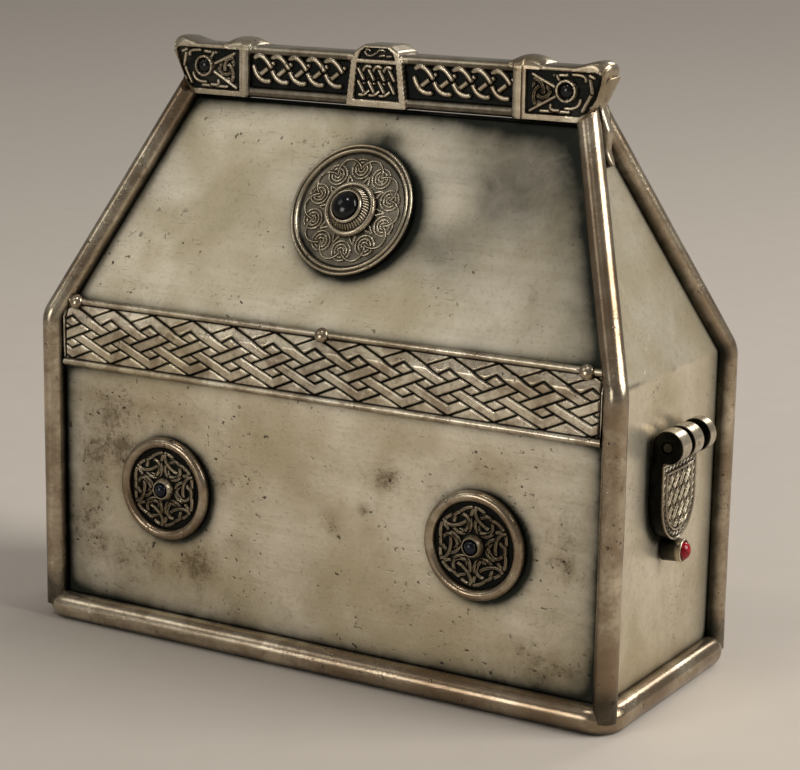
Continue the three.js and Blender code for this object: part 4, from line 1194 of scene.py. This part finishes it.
def tongue():
    """A tapering tongue down the hip end: a rounded back over the two corner bindings."""
    top = (RIDGE_FOOT_Z - END_CREASE_Z) / math.cos(END_LEAN)
    rows = np.linspace(-12.0, 3.2, 60)[:, None]
    a = np.linspace(0, 1, 30)
    taper = np.sqrt(np.clip(1 - (np.maximum(-9.6 - rows, 0) / 2.45) ** 2, 0.02, 1))
    half = (1.75 + 0.55 * smooth(-10, -2, rows)) * taper
    across = np.concatenate([np.cos(a * math.pi), -np.cos(a * math.pi)[1:-1]])
    u = half * across
    v = np.broadcast_to(top + rows, u.shape)
    z = END_CREASE_Z + v * math.cos(END_LEAN)
    rod = HALF_DEPTH - HIP_Y * (z - EAVE_Z)
    over_rod = 1.0 + np.sqrt(np.clip((CORNER_R + 0.3) ** 2 - (rod - np.abs(u)) ** 2, 0, None))
    below = np.maximum(GAP, np.where(np.abs(rod - np.abs(u)) < CORNER_R + 0.3, over_rod, GAP))
    lie = 2.1 + 2.15 * smooth(-9.0, -3.0, rows)
    above = np.maximum(below + 0.25, GAP + lie * np.clip(1 - (u / (half + 1e-9)) ** 4, 0, 1) ** 0.35)
    n = np.where(np.arange(u.shape[1]) < len(a), above, below)
    points = place(RIGHT_HIP, u, v, n)
    along = RIGHT_HIP[2]
    for _ in range(4):
        over = np.maximum(points[..., 2] - under_head(points[..., 0]) + 0.2, 0)
        points = points - (over / along[2])[..., None] * along
    # Tone: a painted highlight down the middle of the rounded back, and painted shade underneath.
    tone = np.where(n > 1.6, 0.25 + 0.75 * (1 - (u / (half + 1e-9)) ** 2), 0.1)
    return sheet(points, tone, wrap_v=True, ends=True)


def twin(patches):
    return [(half_turn(points), tone, wrap_u, wrap_v) for points, tone, wrap_u, wrap_v in patches]


def build_ridge():
    pole = make("ridge_beam", [ridge_pole()], CAST_METAL, sharp=50)
    dress(pole, "cast_silver", "ridge_pole")
    for side, patches in (("right", [tongue()]), ("left", twin([tongue()]))):
        dress(make(f"hip_tongue_{side}", patches, CAST_METAL), "cast_silver", f"ridge_tongue_{side}")
    facing_front = face((0, 0, 0), X, Z)
    facing_back = face((0, 0, 0), -X, Z)
    for side, seat, foot in (("front", facing_front, HEAD_Y - 0.6), ("back", facing_back, HEAD_Y + 0.2)):
        for name, sx in (("left", -1), ("right", 1)):
            across = sx * EYE[0] if side == "front" else -sx * EYE[0]
            stone(f"eye_{side}_{name}", moved(seat, across, EYE[1]), EYE_R - 0.25, foot, foot + 0.3,
                  foot + 1.35, JET, "black_stone", f"eye_stone_{side}_{name}")


# Strap mounts

def woven(u, v, spacing, width):
    """Straps that cross on the slant: distance to the middle of the one on top, and 1 on a strap."""
    slant = math.radians(50)
    p, q = (u * math.sin(slant) + v * math.cos(slant), u * math.sin(slant) - v * math.cos(slant))
    i, j = np.round(p / spacing), np.round(q / spacing)
    dp, dq = np.abs(p - i * spacing), np.abs(q - j * spacing)
    on_p, on_q = dp < width / 2, dq < width / 2
    first = (i + j) % 2 == 0
    return np.where(on_p & (first | ~on_q), dp, np.where(on_q, dq, 9.0))


def shield():
    """The mount's plate as rays from a point in it out to its outline, over the edge and back."""
    steps = 400
    a = np.arange(steps)[:, None] / steps * 2 * math.pi
    bowl = 1 / np.hypot(np.cos(a) / MOUNT_HALF, np.sin(a) / (MOUNT_SHOULDER_Z - MOUNT_TIP_Z))
    sides = MOUNT_HALF / np.maximum(np.abs(np.cos(a)), 1e-6)
    top = (MOUNT_TOP_Z - MOUNT_SHOULDER_Z) / np.maximum(np.sin(a), 1e-6)
    reach = np.where(np.sin(a) < 0, bowl, np.minimum(sides, top))
    out = np.concatenate([np.linspace(0, 1, 72), [1.0, 1.0, 0.0]])
    u, v = out * reach * np.cos(a), MOUNT_SHOULDER_Z + out * reach * np.sin(a)
    straight_inset = np.minimum(MOUNT_TOP_Z - v, MOUNT_HALF - np.abs(u))
    inset = np.where(v < MOUNT_SHOULDER_Z, (1 - out) * reach, straight_inset)
    run = np.where(v < MOUNT_SHOULDER_Z, a * 10.6, np.where(straight_inset < MOUNT_TOP_Z - v, v, u))
    rim = inside(inset, -1, 0.6, 0.1)
    line = inside(inset, 2.35, 3.0, 0.12)
    zigzag = 1.05 + 0.85 * np.abs((run / 2.1) % 1 * 2 - 1)
    frieze = smooth(0.42, 0.16, np.abs(inset - zigzag)) * inside(inset, 0.7, 2.3)
    plait = cord(woven(u, v - 52, 2.6, 1.5), 1.5, 0.7) * smooth(3.1, 3.3, inset)
    raised = np.maximum.reduce([rim, line, 0.75 * frieze, 0.85 * plait])
    n = MOUNT_FACE + 0.55 * raised
    n[:, -3], n[:, -2:] = MOUNT_FACE, GAP
    tone = np.maximum.reduce([rim, line, 0.5 * frieze, 0.65 * plait])
    # The outline's side is painted dark as shade.
    tone[:, -3:] = 0.03
    return sheet(place(RIGHT_END, u, v, n), tone, wrap_u=True)


def evenly(points, count):
    """The closed outline's points read again at even steps along it."""
    closed = np.concatenate([points, points[:1]])
    run = np.concatenate([[0], np.cumsum(np.hypot(*np.diff(closed, axis=0).T))])
    at = np.arange(count) / count * run[-1]
    return np.stack([np.interp(at, run, closed[:, 0]), np.interp(at, run, closed[:, 1])], 1)


def knuckle(start, end):
    """A barrel on a web, with rounded edges and a bore: from the bore out, over, and back in."""
    middle = np.array([GAP + KNUCKLE_R, KNUCKLE_Z])
    a = np.radians(np.linspace(-106, 180, 60))
    round_part = middle + KNUCKLE_R * np.stack([np.cos(a), np.sin(a)], 1)
    web = [[GAP, MOUNT_TOP_Z - 1], [MOUNT_FACE, MOUNT_TOP_Z - 1]]
    outline = evenly(np.concatenate([round_part, web]), 96)
    ray = outline - middle
    length = np.hypot(*ray.T)[:, None]
    bore = middle + ray / length * (PIN_R + GAP)
    eased = middle + ray * (1 - 0.3 / length)
    # End faces and bore carry painted shade; the barrel keeps its full tone.
    rows = ((bore, start, 0.0), (eased, start, 0.03), (outline, start + 0.12, 0.7),
            (outline, start + 0.5, 1.0), (outline, end - 0.5, 1.0), (outline, end - 0.12, 0.7),
            (eased, end, 0.03), (bore, end, 0.0))
    points = np.stack([place(RIGHT_END, np.full(96, u), line[:, 1], line[:, 0]) for line, u, _ in rows])
    tone = np.stack([np.full(96, t) for _, _, t in rows])
    return sheet(points, tone, wrap_u=True, wrap_v=True)


def mount_patches():
    """Plate, knuckles and the collar for the red stone, as one casting."""
    collar = cut_corners([(0, GAP), (3.3, GAP), (3.2, 1.2), (2.9, 4.9), (3.05, 5.3), (3.05, 5.8),
                          (2.85, 6.0), (2.55, 5.95), (2.5, 4.7), (0, 4.7)])
    # Tone: painted shade down the collar's side and inside, and a painted highlight on its lip.
    tone = np.interp(collar[:, 1], (0.3, 4.2, 5.4), (0.02, 0.12, 1.0))
    tone = tone * np.where(collar[:, 0] < 2.5, 0.2, 1)
    return [shield(), *(knuckle(*span) for span in KNUCKLES),
            turned(moved(RIGHT_END, 0, COLLAR_Z), collar, 56, tone)]


def build_mounts():
    pin_seat = (np.array([END_X + GAP + KNUCKLE_R, 0, KNUCKLE_Z]), Z, X, Y)
    reach = KNUCKLES[2][1] - 0.05
    rod = [(0, -reach), (1.1, -reach), (PIN_R, 0.25 - reach),
           (PIN_R, reach - 0.25), (1.1, reach), (0, reach)]
    # The pin's low tone is painted shade.
    pin = turned(pin_seat, rod, 40, 0.1)
    for side, patches, pins, seat in (("right", mount_patches(), [pin], RIGHT_END),
                                      ("left", twin(mount_patches()), twin([pin]), None)):
        mount = make(f"strap_casting_{side}", patches, CAST_METAL, sharp=50)
        dress(mount, "cast_silver", f"strap_mount_{side}")
        dress(make(f"hinge_pin_{side}", pins, WORN_METAL), "rubbed_bronze", f"strap_pin_{side}")
        seat = seat or tuple(half_turn(part) for part in RIGHT_END)
        stone(f"strap_gem_{side}", moved(seat, 0, COLLAR_Z), RED_STONE_R, COLLAR_H - 1.0, COLLAR_H - 0.2,
              COLLAR_H + 1.6, RED, "red_stone", f"strap_stone_{side}")


# Camera, floor and lights

CAMERA_TURN = 30.695
CAMERA_RISE = 12.736
CAMERA_ROLL = 0.932
CAMERA_TARGET = (4.722, 0.0, 71.767)
CAMERA_DISTANCE = 618.76
IMAGE_SIZE = (800, 770)
FOCAL_PIXELS = 2313.86
CENTRE_OFFSET = (-3.51, -1.00)

# Each light's turn and rise in degrees, distance and size in metres, power in watts, and colour
WORLD_LIGHT = 0.21
WARM_WHITE = (1.0, 0.98, 0.94)
WHITE = (1.0, 0.98, 0.95)
LIGHTS = {
    "window": (104, 33, 2.1, 1.3, 46.0, WARM_WHITE),
    "roof_light": (-48, 36, 2.4, 0.7, 2.4, WARM_WHITE),
    "front_card": (-20, 10, 2.2, 0.7, 8.5, WARM_WHITE),
    "high_strip": (-14, 62, 1.8, 0.25, 3.0, WHITE),
    "backdrop_light": (172, 34, 6.5, 1.8, 85.0, WHITE),
}


def direction(turn, rise):
    """The way from the casket towards a turn from its front and a rise, both in degrees."""
    turn, rise = math.radians(turn), math.radians(rise)
    return Vector((math.sin(turn) * math.cos(rise), -math.cos(turn) * math.cos(rise), math.sin(rise)))


def build_camera():
    """The photograph's camera: its turn from the front, its rise, its roll and its focal length."""
    roll = math.radians(CAMERA_ROLL)
    away = direction(CAMERA_TURN, CAMERA_RISE)
    right = (-away).cross(Vector((0, 0, 1))).normalized()
    up = right.cross(-away)
    right, up = (math.cos(roll) * right + math.sin(roll) * up, math.cos(roll) * up - math.sin(roll) * right)
    data = bpy.data.cameras.new("camera")
    data.sensor_width = 36.0
    data.lens = FOCAL_PIXELS * data.sensor_width / IMAGE_SIZE[0]
    data.shift_x = -CENTRE_OFFSET[0] / IMAGE_SIZE[0]
    data.shift_y = CENTRE_OFFSET[1] / IMAGE_SIZE[0]
    data.clip_end = 50.0
    camera = bpy.data.objects.new("camera", data)
    turn_matrix = Matrix((right, up, away)).transposed().to_4x4()
    seen_from = (Vector(CAMERA_TARGET) + away * CAMERA_DISTANCE) * MM
    camera.matrix_world = Matrix.Translation(seen_from) @ turn_matrix
    bpy.context.scene.collection.objects.link(camera)
    bpy.context.scene.camera = camera


def softbox(name, turn, rise, distance, size, power, color):
    """A square area light that looks at the casket from a turn and a rise."""
    away = direction(turn, rise)
    data = bpy.data.lights.new(name, "AREA")
    data.size = size
    data.energy = power
    data.color = color
    light = bpy.data.objects.new(name, data)
    light.location = Vector((0, 0, 0.07)) + away * distance
    light.rotation_euler = away.to_track_quat("Z", "Y").to_euler()
    bpy.context.scene.collection.objects.link(light)


def build_stage():
    mesh = bpy.data.meshes.new("floor")
    size = 7.0
    corners = [(-size, -size, 0), (size, -size, 0), (size, size, 0), (-size, size, 0)]
    mesh.from_pydata(corners, [], [(0, 1, 2, 3)])
    paper = bpy.data.materials.new("backdrop_paper")
    paper.use_nodes = True
    tree = paper.node_tree
    shader = tree.nodes["Principled BSDF"]
    shader.inputs["Roughness"].default_value = 0.85
    fibre = noise(tree, 60, 4, 0.6)
    tree.links.new(mix(tree, fibre, rgb("c3bab0"), rgb("bdb4a9")), shader.inputs["Base Color"])
    mesh.materials.append(paper)
    floor = bpy.data.objects.new("floor", mesh)
    bpy.context.scene.collection.objects.link(floor)
    world = bpy.data.worlds.new("studio")
    world.use_nodes = True
    background = world.node_tree.nodes["Background"]
    background.inputs["Color"].default_value = (1.0, 0.96, 0.9, 1)
    background.inputs["Strength"].default_value = WORLD_LIGHT
    bpy.context.scene.world = world
    for name, settings in LIGHTS.items():
        softbox(name, *settings)


bpy.context.scene.view_settings.view_transform = "Standard"
build_camera()
build_stage()
build_bindings()
build_plates()
build_band()
build_wall_medallions()
build_roof_medallion()
build_ridge()
build_mounts()

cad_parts["base_plate"].material_slots[0].material = BASE_METAL
